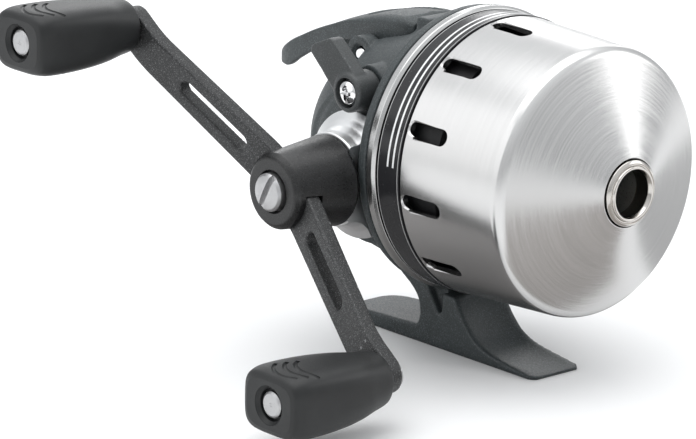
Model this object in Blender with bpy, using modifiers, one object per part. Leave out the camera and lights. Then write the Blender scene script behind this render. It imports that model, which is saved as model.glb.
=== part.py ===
"""Spincast (closed-face) fishing reel, as separate working pieces.

World frame: the origin is the centre of the reel foot's flat underside, +X runs forward to the
nose, +Z is up, and the handle is on the -Y side. Almost everything is built round the spool axis,
so sizes are in millimetres from a point on that axis at the front edge of the printed band.
"""
import math

import bmesh
import bpy
from mathutils import Matrix, Vector

MM = 0.001
SPOOL_AXIS = Vector((12.4, 0.0, 45.3))       # the point all the places below are measured from, mm
GAP = 0.3                                    # clearance between pieces that rest on each other

# The cover and the rings behind it
COVER_R = 31.0
COVER_FRONT_R = 29.7
COVER_WALL = 1.2
NOSE_X = 39.6
NOSE_HOLE_R = 5.0
NOSE_RING_R = 7.2
SKIRT_R = 29.7
SKIRT_REAR_X = -6.9
SLOT_COUNT = 12
SLOT_FIRST_DEG = 80.4
SLOT_X = (0.6, 11.9)
SLOT_WIDTH = 3.7
BAND_R = 31.2
TRIM_RING_R = 31.9
FLANGE_R = 31.5
SPIGOT_R = 27.9
SPIGOT_WALL = 2.0
DECK_X = (-3.0, -1.0)
DECK_RIM_X = 7.4
DECK_SCREW_R = 23.9
DECK_SCREW_DEG = (30.0, 150.0, 270.0)

# The gear case: a dome behind the flange whose axis drops towards the rear
DOME_TILT_DEG = 4.0
DOME = [(29.0, -11.5), (28.2, -16.0), (27.0, -22.0), (25.6, -29.0), (23.6, -35.0),
        (20.6, -40.5), (16.0, -45.2), (9.0, -48.4), (0.0, -49.6)]
CASE_WALL = 2.2
CASE_HALF_WIDTH = 21.0
DRUM_R = 17.8
DRUM_CENTRE = (-20.5, -3.0)
CASE_ROOF_Z = 12.3

# The crank, across the case
CRANK_X, CRANK_Z = -21.0, -4.6
CRANK_R = 2.5
PLATE_R = 14.2
NECK_R = 10.4
ARM_ANGLE_DEG = 144.7
ARM_LENGTH = 51.5
ARM_THICK = 3.5
SLOT_AT = 23.2                               # the middle of each slot, along the arm
ARM_ROOT_Y, ARM_TAB_Y = 44.0, 53.0
KNOB_LENGTH = 29.6

# The gear pair: straight teeth on a face gear drive a spur pinion on the spool axis
GEAR_TEETH, PINION_TEETH = 43, 10
CONTACT_REACH = 14.0                         # along the tooth, from the foot of the crank axis
PINION_PITCH_R = CONTACT_REACH * PINION_TEETH / GEAR_TEETH
GEAR_R = 16.5

# The controls on top
THUMB_PIVOT = (-34.0, 18.0)
BRAKE_PIVOT = (-19.7, 14.5)                  # the anti-reverse lever's shaft
PAWL_PIVOT = (-32.0, 6.0)
DIAL_Z = 21.0
DIAL_R = 8.5
RATCHET_R = 8.5

# The foot
FOOT_Z = -45.3
FOOT_HALF_WIDTH = 7.5
FOOT_X = (-43.5, 18.7)

FACING = {"+X": (0, 90, 0), "-X": (0, -90, 0), "+Y": (-90, 0, 0), "-Y": (90, 0, 0), "+Z": (0, 0, 0)}


# ---------------------------------------------------------------- helpers

def start_clean():
    """Empty the scene and make the part's collection and the cutters' collection."""
    for obj in list(bpy.data.objects):
        bpy.data.objects.remove(obj, do_unlink=True)
    made = []
    for name in ("spincast_reel", "cutters"):
        group = bpy.data.collections.new(name)
        bpy.context.scene.collection.children.link(group)
        made.append(group)
    return made


PARTS, CUTTERS = start_clean()


def material(name, colour, roughness, metallic=0.0):
    """A Principled material, made once for each name."""
    if name in bpy.data.materials:
        return bpy.data.materials[name]
    made = bpy.data.materials.new(name)
    made.use_nodes = True
    shader = made.node_tree.nodes["Principled BSDF"]
    shader.inputs["Base Color"].default_value = (*colour, 1.0)
    shader.inputs["Roughness"].default_value = roughness
    shader.inputs["Metallic"].default_value = metallic
    return made


PAINT = material("grey_paint", (0.09, 0.105, 0.108), 0.55, 0.2)
SATIN = material("satin_aluminium", (0.72, 0.73, 0.74), 0.28, 1.0)
POLISHED = material("polished_metal", (0.80, 0.80, 0.79), 0.12, 1.0)
BLACK_GLOSS = material("black_gloss", (0.012, 0.012, 0.013), 0.2)
BLACK_SATIN = material("black_satin", (0.03, 0.03, 0.032), 0.5)
SOFT_BLACK = material("soft_black", (0.022, 0.022, 0.023), 0.65)
STEEL = material("steel", (0.55, 0.55, 0.55), 0.3, 1.0)
BRASS = material("brass", (0.66, 0.48, 0.2), 0.3, 1.0)
SPOOL_GREY = material("spool_grey", (0.32, 0.33, 0.34), 0.35, 0.9)


def world(x, y, z):
    """A place measured from the spool axis, as a world point in metres."""
    return (SPOOL_AXIS + Vector((x, y, z))) * MM


def add(name, mesh, at, facing="+Z", look=None, cutter=False):
    """Make the object for a mesh, put it in place, and give it its material."""
    obj = bpy.data.objects.new(name, mesh)
    (CUTTERS if cutter else PARTS).objects.link(obj)
    obj.location = world(*at)
    obj.rotation_euler = [math.radians(a) for a in FACING[facing]]
    if cutter:
        obj.hide_render = True
        obj.display_type = "WIRE"
    else:
        mesh.materials.append(look)
    return obj


def turned(name, profile, at, facing="+Z", look=None, steps=32, cutter=False, smooth=True):
    """Turn a profile of (radius, height) round the object's own Z.

    A solid profile starts and ends on the axis. A ring's profile ends off it and is closed here.
    Both run down the outer side first, from top to bottom."""
    mesh = bpy.data.meshes.new(name)
    edges = [(i, i + 1) for i in range(len(profile) - 1)]
    if profile[0][0] > 0 or profile[-1][0] > 0:
        edges.append((len(profile) - 1, 0))
    mesh.from_pydata([(r * MM, 0.0, h * MM) for r, h in profile], edges, [])
    obj = add(name, mesh, at, facing, look, cutter)
    screw = obj.modifiers.new("turn", "SCREW")
    screw.axis = "Z"
    screw.steps = screw.render_steps = steps
    screw.use_merge_vertices = True
    screw.merge_threshold = 0.00001
    screw.use_smooth_shade = smooth
    return obj


def rod(name, radius, low, high, at, facing="+Z", look=None, steps=16, cutter=False):
    """A plain round bar from low to high along the way it faces."""
    mesh = bpy.data.meshes.new(name)
    bm = bmesh.new()
    bmesh.ops.create_cone(bm, cap_ends=True, segments=steps, radius1=radius * MM, radius2=radius * MM,
                          depth=(high - low) * MM)
    bmesh.ops.translate(bm, vec=(0, 0, (high + low) / 2 * MM), verts=bm.verts)
    bm.to_mesh(mesh)
    bm.free()
    return add(name, mesh, at, facing, look, cutter)


def tube(name, inner, outer, low, high, at, facing="+Z", look=None, steps=20, cutter=False):
    """A plain ring or sleeve."""
    profile = [(outer, high), (outer, low), (inner, low), (inner, high)]
    return turned(name, profile, at, facing, look, steps, cutter, smooth=False)


def box(name, low, high, look=None, bevel=0.0, cutter=False):
    """A box between two corners, with its bevel as a modifier."""
    mesh = bpy.data.meshes.new(name)
    bm = bmesh.new()
    bmesh.ops.create_cube(bm, size=1.0)
    size = [(b - a) * MM for a, b in zip(low, high)]
    bmesh.ops.scale(bm, vec=size, verts=bm.verts)
    bm.to_mesh(mesh)
    bm.free()
    middle = [(a + b) / 2 for a, b in zip(low, high)]
    obj = add(name, mesh, middle, "+Z", look, cutter)
    if bevel:
        soften(obj, bevel)
    return obj


def flat(name, outline, half, at, facing="+Z", look=None, cutter=False, holes=()):
    """A flat outline, with holes, as a curve filled on both sides and extruded by half each way.

    It is made a mesh here, so that it can be cut and joined."""
    curve = bpy.data.curves.new(name, "CURVE")
    curve.dimensions = "2D"
    curve.fill_mode = "BOTH"
    curve.extrude = half * MM
    for ring in (outline, *holes):
        spline = curve.splines.new("POLY")
        spline.points.add(len(ring) - 1)
        for point, (u, v) in zip(spline.points, ring):
            point.co = (u * MM, v * MM, 0.0, 1.0)
        spline.use_cyclic_u = True
    guide = bpy.data.objects.new(name + "_outline", curve)
    CUTTERS.objects.link(guide)
    bpy.context.view_layer.update()
    graph = bpy.context.evaluated_depsgraph_get()
    mesh = bpy.data.meshes.new_from_object(guide.evaluated_get(graph))
    bpy.data.objects.remove(guide)
    bpy.data.curves.remove(curve)
    bm = bmesh.new()
    bm.from_mesh(mesh)
    bmesh.ops.remove_doubles(bm, verts=bm.verts, dist=0.000002)
    bmesh.ops.recalc_face_normals(bm, faces=bm.faces)
    bm.to_mesh(mesh)
    bm.free()
    mesh.name = name
    mesh.materials.clear()
    return add(name, mesh, at, facing, look, cutter)


def side_view(name, outline, half, y=0.0, look=None, cutter=False, holes=(), pivot=(0.0, 0.0)):
    """An outline drawn in X and Z, extruded along Y, with its origin at the pivot."""
    def shift(ring):
        return [(x - pivot[0], z - pivot[1]) for x, z in ring]
    return flat(name, shift(outline), half, (pivot[0], y, pivot[1]), "-Y", look, cutter,
                [shift(hole) for hole in holes])


def loft(name, rings, at, facing="+Z", look=None, cutter=False):
    """Skin a row of closed rings with equal point counts, and cap both ends."""
    bm = bmesh.new()
    rows = [[bm.verts.new(Vector(p) * MM) for p in ring] for ring in rings]
    count = len(rows[0])
    for low, high in zip(rows, rows[1:]):
        for i in range(count):
            bm.faces.new((low[i], low[(i + 1) % count], high[(i + 1) % count], high[i]))
    bm.faces.new(rows[0])
    bm.faces.new(rows[-1])
    bmesh.ops.recalc_face_normals(bm, faces=bm.faces)
    mesh = bpy.data.meshes.new(name)
    bm.to_mesh(mesh)
    bm.free()
    return add(name, mesh, at, facing, look, cutter)


def arc(centre, radius, start, end, count):
    """Points along an arc, in degrees, ends included."""
    angles = [math.radians(start + (end - start) * i / (count - 1)) for i in range(count)]
    return [(centre[0] + radius * math.cos(a), centre[1] + radius * math.sin(a)) for a in angles]


def circle(centre, radius, count=20):
    """Points round a whole circle."""
    return arc(centre, radius, 0.0, 360.0 - 360.0 / count, count)


def stadium(length, width, count=6):
    """A slot's outline along its own X, round at both ends."""
    reach, radius = (length - width) / 2, width / 2
    return arc((reach, 0), radius, -90, 90, count) + arc((-reach, 0), radius, 90, 270, count)


def boolean(obj, others, operation):
    """Add one Boolean modifier for each of the other objects."""
    for other in others:
        change = obj.modifiers.new(other.name, "BOOLEAN")
        change.operation = operation
        change.object = other
    return obj


def cut(obj, *others):
    return boolean(obj, others, "DIFFERENCE")


def join(obj, *others):
    return boolean(obj, others, "UNION")


def keep_inside(obj, *others):
    return boolean(obj, others, "INTERSECT")


def flatten(obj):
    """Merge the faces that lie in one plane, which a turned end or a cut leaves in many slivers."""
    merge = obj.modifiers.new("flatten", "DECIMATE")
    merge.decimate_type = "DISSOLVE"
    merge.angle_limit = math.radians(0.3)
    return obj


def soften(obj, width, segments=2, angle=35.0):
    """Round the edges that are sharper than the angle."""
    bevel = obj.modifiers.new("soften", "BEVEL")
    bevel.width = width * MM
    bevel.segments = segments
    bevel.limit_method = "ANGLE"
    bevel.angle_limit = math.radians(angle)
    return obj


def around_spool(radius, degrees, x):
    """The place at an angle round the spool axis, counted from the handle side."""
    angle = math.radians(degrees)
    return (x, -radius * math.cos(angle), radius * math.sin(angle))


# ---------------------------------------------------------------- the body and what is fixed to it

def dome(name, shrink=0.0, front=DOME[0][1], look=None, cutter=False):
    """The gear case's round shape, smaller all over by shrink, from a chosen front."""
    profile = [(max(r - shrink, 0.0), x + (shrink if r < 20.0 else 0.0)) for r, x in DOME]
    profile = [(0.0, front), (profile[0][0], front)] + profile[1:]
    obj = turned(name, profile, (0, 0, 0), "+X", look, 24, cutter)
    obj.rotation_euler[1] = math.radians(90 - DOME_TILT_DEG)
    return obj


def foot_and_stem(name):
    """The reel foot with its two tongues and the stem that carries the case, as one outline."""
    outline = [(-34.0, -18.0), (-31.0, -25.0), (-29.0, -26.7), (-25.0, -30.0), (-20.6, -32.9),
               (-18.4, -35.4), (-17.8, -38.5), (-18.4, -40.6), (-20.4, -41.4), (-40.4, -42.3),
               (-42.6, -43.1), (FOOT_X[0], -44.4), (FOOT_X[0], FOOT_Z), (FOOT_X[1], FOOT_Z),
               (FOOT_X[1], -44.7), (14.0, -44.1), (8.0, -43.3), (3.6, -42.4), (0.4, -41.0),
               (-1.9, -39.1), (-3.9, -36.8), (-5.4, -34.6), (-6.6, -32.5), (-11.1, -32.3),
               (-11.1, -24.0)]
    body = side_view(name, outline, FOOT_HALF_WIDTH, cutter=True)
    soften(body, 0.5, 1, 40.0)
    middle, reach = (FOOT_X[0] + FOOT_X[1]) / 2, (FOOT_X[1] - FOOT_X[0]) / 2
    rear = [(p, q) for p, q in stadium(2 * reach, 2 * FOOT_HALF_WIDTH, 9) if p < 0]
    front = [(reach - 2.2, -FOOT_HALF_WIDTH), (reach, -5.2), (reach, 5.2), (reach - 2.2, FOOT_HALF_WIDTH)]
    tips = flat(name + "_plan", front + rear, 20.0, (middle, 0, FOOT_Z + 19.0), cutter=True)
    return keep_inside(body, tips)


def body_housing():
    """The die-cast case with its flange, drum sides, stem, foot, lever cheeks and rear web."""
    case = dome("body_housing", look=PAINT)
    wide, rear_of_flange = 60.0, -12.0
    keep_inside(case, box("case_width", (-wide, -CASE_HALF_WIDTH, -wide),
                          (rear_of_flange, CASE_HALF_WIDTH, wide), cutter=True))
    cx, cz = DRUM_CENTRE
    half = CASE_HALF_WIDTH + 1.0
    drum = turned("drum", [(0, half), (DRUM_R - 2.0, half), (DRUM_R, half - 2.0), (DRUM_R, 2.0 - half),
                           (DRUM_R - 2.0, -half), (0, -half)], (cx, 0, cz), "-Y", steps=24, cutter=True)
    keep_inside(drum, box("drum_front", (-wide, -wide, -wide), (rear_of_flange, wide, wide), cutter=True))
    bore = SPIGOT_R - SPIGOT_WALL
    flange = turned("flange", [(0, -10.6), (bore, -10.6), (bore, -3.3), (SPIGOT_R, -3.3),
                               (SPIGOT_R, -10.3), (FLANGE_R, -10.4), (FLANGE_R, -12.4),
                               (28.8, -14.6), (0, -14.6)], (0, 0, 0), "+X", steps=36, cutter=True)
    cheeks = rod("cheeks", 4.2, -12.6, 12.6, (THUMB_PIVOT[0], 0, THUMB_PIVOT[1]), "-Y", cutter=True)
    brake_boss = rod("brake_boss", 5.2, 10.0, 22.15, (BRAKE_PIVOT[0], 0, BRAKE_PIVOT[1]), "-Y",
                     cutter=True)
    index_pad = box("index_pad", (-21.3, -7.5, 20.0), (-16.9, 7.5, 28.3), bevel=0.8, cutter=True)
    for piece in (case, drum, flange):
        flatten(piece)
    join(case, drum, flange, cheeks, brake_boss, index_pad, foot_and_stem("foot_and_stem"))
    flatten(case)

    cavity = dome("case_cavity", CASE_WALL, -7.0, cutter=True)
    keep_inside(cavity, box("cavity_limits", (-60, -19.3, -60), (-8, 19.3, CASE_ROOF_Z), cutter=True))
    drum_space = rod("drum_space", DRUM_R - 1.6, -18.9, 18.9, (cx, 0, cz), "-Y", steps=20, cutter=True)
    keep_inside(drum_space, box("drum_limits", (-60, -20, -60), (-9, 20, CASE_ROOF_Z - 0.2), cutter=True))
    lever_channel = box("lever_channel", (-60, -8.9, 14.8), (-30, 8.9, 40), cutter=True)
    lever_front = box("lever_front_channel", (-30.5, -8.9, 20.2), (-21.8, 8.9, 40), cutter=True)
    arm_window = box("arm_window", (-43.0, -2.6, 5.0), (-31.0, 2.6, 16.0), cutter=True)
    cut(case, cavity, drum_space, lever_channel, lever_front, arm_window)
    flatten(case)

    web = box("rear_web", (-28.6, -2.3, -4.0), (-26.4, 20.0, CASE_ROOF_Z + 0.5), cutter=True)
    join(case, web)
    for i, angle in enumerate(DECK_SCREW_DEG):
        at = around_spool(DECK_SCREW_R, angle, 0)
        join(case, rod(f"screw_boss_{i}", 2.6, -11.4, -3.5, at, "+X", steps=12, cutter=True))
        cut(case, rod(f"screw_bore_{i}", 1.3, -9.5, 0.0, at, "+X", steps=12, cutter=True))

    openings = [
        rod("plate_bore", 8.4, -30, 30, (CRANK_X, 0, CRANK_Z), "-Y", cutter=True, steps=20),
        rod("thumb_pin_bore", 1.8, -20, 20, (THUMB_PIVOT[0], 0, THUMB_PIVOT[1]), "-Y", cutter=True),
        rod("brake_bore", 1.8, 12, 30, (BRAKE_PIVOT[0], 0, BRAKE_PIVOT[1]), "-Y", cutter=True),
        rod("brake_pocket", 2.9, 9.6, 16, (BRAKE_PIVOT[0], 0, BRAKE_PIVOT[1]), "-Y", cutter=True),
        box("finger_room", (-24.6, -11.9, 10.0), (-14.6, -9.5, 13.6), cutter=True),
        rod("pawl_pin_bore", 1.5, 19.0, 20.7, (PAWL_PIVOT[0], 0, PAWL_PIVOT[1]), "-Y", cutter=True),
        rod("dial_pocket", DIAL_R + 0.5, -16.9, -13.1, (0, 0, DIAL_Z), "+X", steps=24, cutter=True),
        rod("dial_stem_bore", 1.9, -14, -8, (0, 0, DIAL_Z), "+X", cutter=True),
        rod("web_bore", 1.8, -31, -24, (0, 0, 0), "+X", cutter=True),
    ]
    for side in (-1, 1):
        pocket = [(-17.9, -29.1), (-13.6, -30.0), (-10.1, -36.5), (-12.0, -37.2), (-16.1, -32.9)]
        openings.append(side_view(f"stem_pocket_{side}", pocket, 1.5, side * (FOOT_HALF_WIDTH), cutter=True))
    flatten(case)
    return flatten(cut(case, *openings))


def deck():
    """The plate that closes the case, with the spool's tube, and the three screws that hold it."""
    rear, front = DECK_X
    plate = turned("deck_plate",
                   [(4.2, 12.0), (4.2, front), (26.4, front), (26.4, DECK_RIM_X), (27.7, DECK_RIM_X),
                    (27.7, rear), (6.6, rear), (6.6, -3.8), (5.3, -3.8), (5.3, -1.3), (3.0, -1.3),
                    (3.0, 12.0)], (0, 0, 0), "+X", BLACK_SATIN, 28)
    holes = [rod("shoe_hole", 1.9, -6, 3, (0, 0, DIAL_Z), "+X", cutter=True, steps=16),
             rod("carrier_rod_hole", 1.5, -6, 3, (0, 6.5, 6.5), "+X", cutter=True, steps=16)]
    for i, angle in enumerate(DECK_SCREW_DEG):
        at = around_spool(DECK_SCREW_R, angle, 0)
        holes.append(rod(f"deck_screw_hole_{i}", 1.3, -6, 3, at, "+X", steps=16, cutter=True))
        turned(f"deck_screw_{i + 1}", [(0, 0.5), (1.5, 0.5), (2.0, 0.1), (2.0, -0.7), (1.0, -0.7),
                                       (1.0, -8.8), (0, -8.8)], at, "+X", STEEL, 16)
    cut(plate, *holes)
    return plate


def side_plates():
    """The polished neck on the handle side and the plate and cap on the other."""
    at = (CRANK_X, 0, CRANK_Z)
    left = turned("left_side_plate",
                  [(NECK_R, 31.9), (NECK_R, 27.6), (11.2, 25.4), (PLATE_R, 23.6), (PLATE_R, 22.3),
                   (8.0, 22.3), (8.0, 16.6), (6.2, 16.6), (6.2, 21.0), (3.1, 21.0), (3.1, 31.9)],
                  at, "-Y", POLISHED, 24)
    right = turned("right_side_plate",
                   [(NECK_R, 25.6), (PLATE_R, 23.6), (PLATE_R, 22.3), (8.0, 22.3), (8.0, 16.6),
                    (6.2, 16.6), (6.2, 21.0), (4.6, 21.0), (4.6, 25.6)], at, "+Y", POLISHED, 24)
    # a flat on each plate clears the flange, which stands in front of the crank
    for plate in (left, right):
        cut(plate, box(plate.name + "_flat", (-14.9, -40, -40), (10, 40, 40), cutter=True))
    cap = turned("dust_cap", [(0, 28.4), (7.2, 28.4), (8.2, 27.6), (8.2, 25.9), (4.2, 25.9), (4.2, 21.6),
                              (0, 21.6)], at, "+Y", BLACK_SATIN, 24)
    cut(cap, box("cap_slot", (CRANK_X - 6, 27.4, CRANK_Z - 0.8), (CRANK_X + 6, 30, CRANK_Z + 0.8),
                 cutter=True))
    for name, facing in (("left_shaft_bearing", "-Y"), ("right_shaft_bearing", "+Y")):
        ball_bearing(name, 2.7, 6.0, 17.0, 20.7, at, facing)


def ball_bearing(name, inner, outer, low, high, at, facing):
    """A shielded bearing as one ring, with a recess in the shield on its inward side."""
    rim, lip = outer - 0.9, inner + 0.9
    turned(name, [(outer, high), (outer, low), (rim, low), (rim, low + 0.3), (lip, low + 0.3), (lip, low),
                  (inner, low), (inner, high)], at, facing, STEEL, 16)


def fixed_rings():
    """The polished ring on the spigot, the pinion's bearing and the fixed pins."""
    turned("trim_ring", [(31.2, -7.2), (TRIM_RING_R, -7.8), (TRIM_RING_R, -9.4), (31.2, -10.0),
                         (28.2, -10.0), (28.2, -7.2)], (0, 0, 0), "+X", POLISHED, 40)
    ball_bearing("pinion_bearing", 2.7, 5.0, -3.7, -1.6, (0, 0, 0), "+X")
    pin_x, pin_z = THUMB_PIVOT
    turned("thumb_lever_pin", [(0, 12.4), (1.1, 12.4), (1.5, 12.0), (1.5, -12.0), (1.1, -12.4),
                               (0, -12.4)], (pin_x, 0, pin_z), "-Y", POLISHED, 20)
    rod("pawl_pin", 1.2, 9.2, 20.4, (PAWL_PIVOT[0], 0, PAWL_PIVOT[1]), "-Y", STEEL, 16)


def return_spring():
    """The coil that pushes the main shaft back, between the rear web and the shaft's collar."""
    turns, per_turn, coil_r = 3, 8, 2.2
    rear, front = -38.5, -29.0
    curve = bpy.data.curves.new("shaft_spring", "CURVE")
    curve.dimensions = "3D"
    curve.bevel_depth = 0.35 * MM
    curve.bevel_resolution = 0
    curve.use_fill_caps = True
    spline = curve.splines.new("POLY")
    count = turns * per_turn
    spline.points.add(count)
    for i, point in enumerate(spline.points):
        angle = 2 * math.pi * i / per_turn
        along = rear + (front - rear) * i / count
        point.co = (along * MM, coil_r * math.cos(angle) * MM, coil_r * math.sin(angle) * MM, 1.0)
    obj = bpy.data.objects.new("shaft_spring", curve)
    PARTS.objects.link(obj)
    obj.location = world(0, 0, 0)
    curve.materials.append(STEEL)


# ---------------------------------------------------------------- the crank

def drive_gear():
    """The face gear: straight teeth that all touch one circle round its centre, facing +Y."""
    rear, face, tip = -6.8, -4.35, -2.85
    offset = -CRANK_Z
    blank = turned("drive_gear", [(GEAR_R, face), (GEAR_R, rear), (5.2, rear), (5.2, -9.2), (2.8, -9.2),
                                  (2.8, face)], (CRANK_X, 0, CRANK_Z), "+Y", BRASS, 28)
    start, end = 10.6, 15.9
    low_half, high_half = 0.55, 0.26
    bm = bmesh.new()
    for i in range(GEAR_TEETH):
        corners = []
        for along in (start, end):
            for height, half in ((face - 0.4, low_half), (tip, high_half)):
                corners += [(along, offset - half, height), (along, offset + half, height)]
        turn = Matrix.Rotation(2 * math.pi * i / GEAR_TEETH, 4, "Z")
        v = [bm.verts.new(turn @ (Vector((a, -o, h)) * MM)) for a, o, h in corners]
        for quad in ((0, 1, 3, 2), (4, 6, 7, 5), (0, 4, 5, 1), (2, 3, 7, 6), (0, 2, 6, 4), (1, 5, 7, 3)):
            bm.faces.new([v[k] for k in quad])
    bmesh.ops.recalc_face_normals(bm, faces=bm.faces)
    mesh = bpy.data.meshes.new("gear_teeth")
    bm.to_mesh(mesh)
    bm.free()
    teeth = add("gear_teeth", mesh, (CRANK_X, 0, CRANK_Z), "+Y", cutter=True)
    return join(blank, teeth)


def ratchet_wheel():
    """Twelve saw teeth on the drive shaft, which the pawl can stop."""
    teeth = 12
    outline = []
    for i in range(teeth):
        for step, radius in ((0.0, RATCHET_R), (0.08, RATCHET_R - 1.3), (0.55, RATCHET_R - 0.7)):
            angle = 2 * math.pi * (i + step) / teeth
            outline.append((radius * math.cos(angle), radius * math.sin(angle)))
    flat("ratchet_wheel", outline, 0.9, (CRANK_X, -10.7, CRANK_Z), "-Y", STEEL,
         holes=[circle((0, 0), 2.8)])


def crank_shaft_pieces():
    at = (CRANK_X, 0, CRANK_Z)
    turned("drive_shaft", [(0, 34.6), (1.6, 34.6), (1.6, 41.6), (CRANK_R, 41.6), (CRANK_R, -20.4),
                           (0, -20.4)], at, "-Y", STEEL, 24)
    drive_gear()
    ratchet_wheel()
    tube("shaft_spacer", 2.8, 4.2, 4.2, 16.6, at, "+Y", BRASS)
    clip = arc((0, 0), 3.9, -15, 255, 19) + arc((0, 0), 2.75, 255, -15, 15)
    flat("shaft_clip", clip, 0.5, (CRANK_X, 3.2, CRANK_Z), "+Y", STEEL)


def arm_directions():
    """Unit vectors along the arm, across it, and outwards from the case."""
    angle = math.radians(ARM_ANGLE_DEG)
    along, outward = Vector((math.cos(angle), 0, math.sin(angle))), Vector((0, -1, 0))
    return along, along.cross(outward), outward


def lay_on_arm(obj, distance=0.0):
    """Face an object made in X and Y outwards, with its own X along the arm, at a distance along it."""
    along, across, outward = arm_directions()
    obj.location = world(CRANK_X, -ARM_ROOT_Y, CRANK_Z) + along * distance * MM
    obj.rotation_euler = Matrix((along, -across, outward)).transposed().to_euler()
    return obj


def both_ends(points):
    """Mirror a row of points of the arm's right half, so that the row runs on round the left half."""
    return points + [(-u, v) for u, v in reversed(points)]


def handle_strip():
    """The strip through the hub, flat in the middle and raised to a flat tab at each end."""
    half, flat_end, slope_end, thickness_shift = ARM_THICK / 2, 8.5, 41.5, 0.8
    tab_centre, tab_r, rise = ARM_LENGTH - 0.6, 4.3, ARM_TAB_Y - ARM_ROOT_Y
    tab_end = tab_centre + tab_r + 1.0
    outline = both_ends([(flat_end, half), (slope_end, rise + half), (tab_end, rise + half),
                         (tab_end, rise - half), (slope_end + thickness_shift, rise - half),
                         (flat_end + thickness_shift, -half)])
    strip = flat("handle_arm", outline, 5.4, (0, 0, 0), "+Z", PAINT)
    along, across, outward = arm_directions()
    strip.location = world(CRANK_X, -ARM_ROOT_Y, CRANK_Z)
    strip.rotation_euler = Matrix((along, outward, across)).transposed().to_euler()

    edge = [(0.5, 4.9), (10, 4.85), (30, 4.4), (44, 4.25)]
    plan = both_ends(edge + arc((tab_centre, 0), tab_r, 60, -60, 9) + [(u, -v) for u, v in reversed(edge)])
    keep_inside(strip, lay_on_arm(flat("arm_plan", plan, 20.0, (0, 0, 0), cutter=True)))
    holes = [rod("arm_screw_hole", 1.8, -20, 20, (0, 0, 0), cutter=True)]
    for side in (-1, 1):
        slot = flat(f"arm_slot_{side}", stadium(20.0, 3.6), 20.0, (0, 0, 0), cutter=True)
        pin_hole = rod(f"arm_pin_hole_{side}", 2.1, -20, 20, (0, 0, 0), cutter=True)
        holes += [lay_on_arm(slot, side * SLOT_AT), lay_on_arm(pin_hole, side * ARM_LENGTH)]
    lay_on_arm(holes[0])
    cut(strip, *holes)


def handle():
    """The hub, the strip through it, and the screw that holds them on the shaft."""
    at = (CRANK_X, 0, CRANK_Z)
    hub = turned("handle_hub", [(4.7, 48.6), (7.2, 48.6), (8.1, 47.9), (8.3, 46.6), (9.0, 42.0),
                                (9.9, 34.2), (10.1, 32.9), (9.8, 32.3), (2.9, 32.3), (2.9, 42.3),
                                (1.7, 42.3), (1.7, 46.9), (4.7, 46.9)], at, "-Y", BLACK_SATIN, 24)
    cut(hub, lay_on_arm(box("strip_space", (-30, -5.2, -2.15), (30, 5.2, 2.15), cutter=True)))
    handle_strip()
    screw = turned("handle_screw", [(0, 50.3), (3.6, 50.3), (4.2, 49.7), (4.2, 47.2), (1.35, 47.2),
                                    (1.35, 35.2), (0, 35.2)], at, "-Y", POLISHED, 20)
    slot = box("screw_slot", (-6, -1.0, -0.75), (6, 1.0, 0.75), cutter=True)
    slot.location = world(CRANK_X, -50.3, CRANK_Z)
    slot.rotation_euler = (0, math.radians(-63), 0)
    cut(screw, slot)


def rounded(half_x, half_z, power, count=14):
    """A rounded-square ring, from a circle at power 2 to a square at a high power."""
    ring = []
    for i in range(count):
        c, s = math.cos(2 * math.pi * i / count), math.sin(2 * math.pi * i / count)
        ring.append((half_x * math.copysign(abs(c) ** (2 / power), c),
                     half_z * math.copysign(abs(s) ** (2 / power), s)))
    return ring


def knobs():
    """Two paddles that turn freely on pins riveted through the arm's tabs."""
    along = arm_directions()[0]
    sections = [(0.0, 5.6, 5.6, 2.0), (1.6, 6.0, 5.9, 2.0), (5.0, 6.4, 5.9, 2.2), (9.0, 8.0, 6.3, 2.6),
                (15.0, 8.7, 6.8, 3.0), (22.0, 8.8, 7.0, 3.2), (26.5, 8.5, 6.8, 3.0),
                (28.8, 7.4, 5.9, 2.6), (KNOB_LENGTH, 5.4, 4.6, 2.2)]
    start = ARM_TAB_Y + ARM_THICK / 2 + GAP + 0.1
    for name, side in (("upper", 1), ("lower", -1)):
        x, z = CRANK_X + side * along.x * ARM_LENGTH, CRANK_Z + side * along.z * ARM_LENGTH
        rings = [[(u, v, s) for u, v in rounded(hx, hz, power)] for s, hx, hz, power in sections]
        knob = loft(f"knob_{name}", rings, (x, -start, z), "-Y", SOFT_BLACK)
        cut(knob,
            rod(f"knob_bore_{name}", 2.1, -1, 40, (x, -start, z), "-Y", cutter=True, steps=16),
            rod(f"knob_recess_{name}", 3.5, KNOB_LENGTH - 2.0, 40, (x, -start, z), "-Y", cutter=True))
        head = KNOB_LENGTH - 0.5
        under = ARM_TAB_Y - ARM_THICK / 2 - GAP - start
        turned(f"knob_pin_{name}", [(0, head), (2.3, head), (2.85, head - 0.4), (2.85, head - 1.2),
                                    (1.8, head - 1.2), (1.8, under), (3.1, under), (3.0, under - 0.7),
                                    (2.0, under - 1.3), (0, under - 1.5)], (x, -start, z), "-Y",
               POLISHED, 14)


# ---------------------------------------------------------------- the spool axis

def pinion():
    """The spur pinion with a journal that runs forward through its bearing."""
    root, tip = PINION_PITCH_R - 0.75, PINION_PITCH_R + 0.45
    half_root, half_tip = 9.0, 3.2
    outline = []
    for i in range(PINION_TEETH):
        middle = 360.0 * i / PINION_TEETH
        for radius, offset in ((root, -half_root), (tip, -half_tip), (tip, half_tip), (root, half_root)):
            angle = math.radians(middle + offset)
            outline.append((radius * math.cos(angle), radius * math.sin(angle)))
    rear, front = -8.6, -4.4
    teeth = flat("pinion_gear", outline, (front - rear) / 2, ((rear + front) / 2, 0, 0), "+X", BRASS,
                 holes=[circle((0, 0), 1.8, 12)])
    journal = tube("pinion_journal", 1.8, 2.5, -4.8, 11.0, (0, 0, 0), "+X", cutter=True, steps=12)
    return join(teeth, journal)


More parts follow.
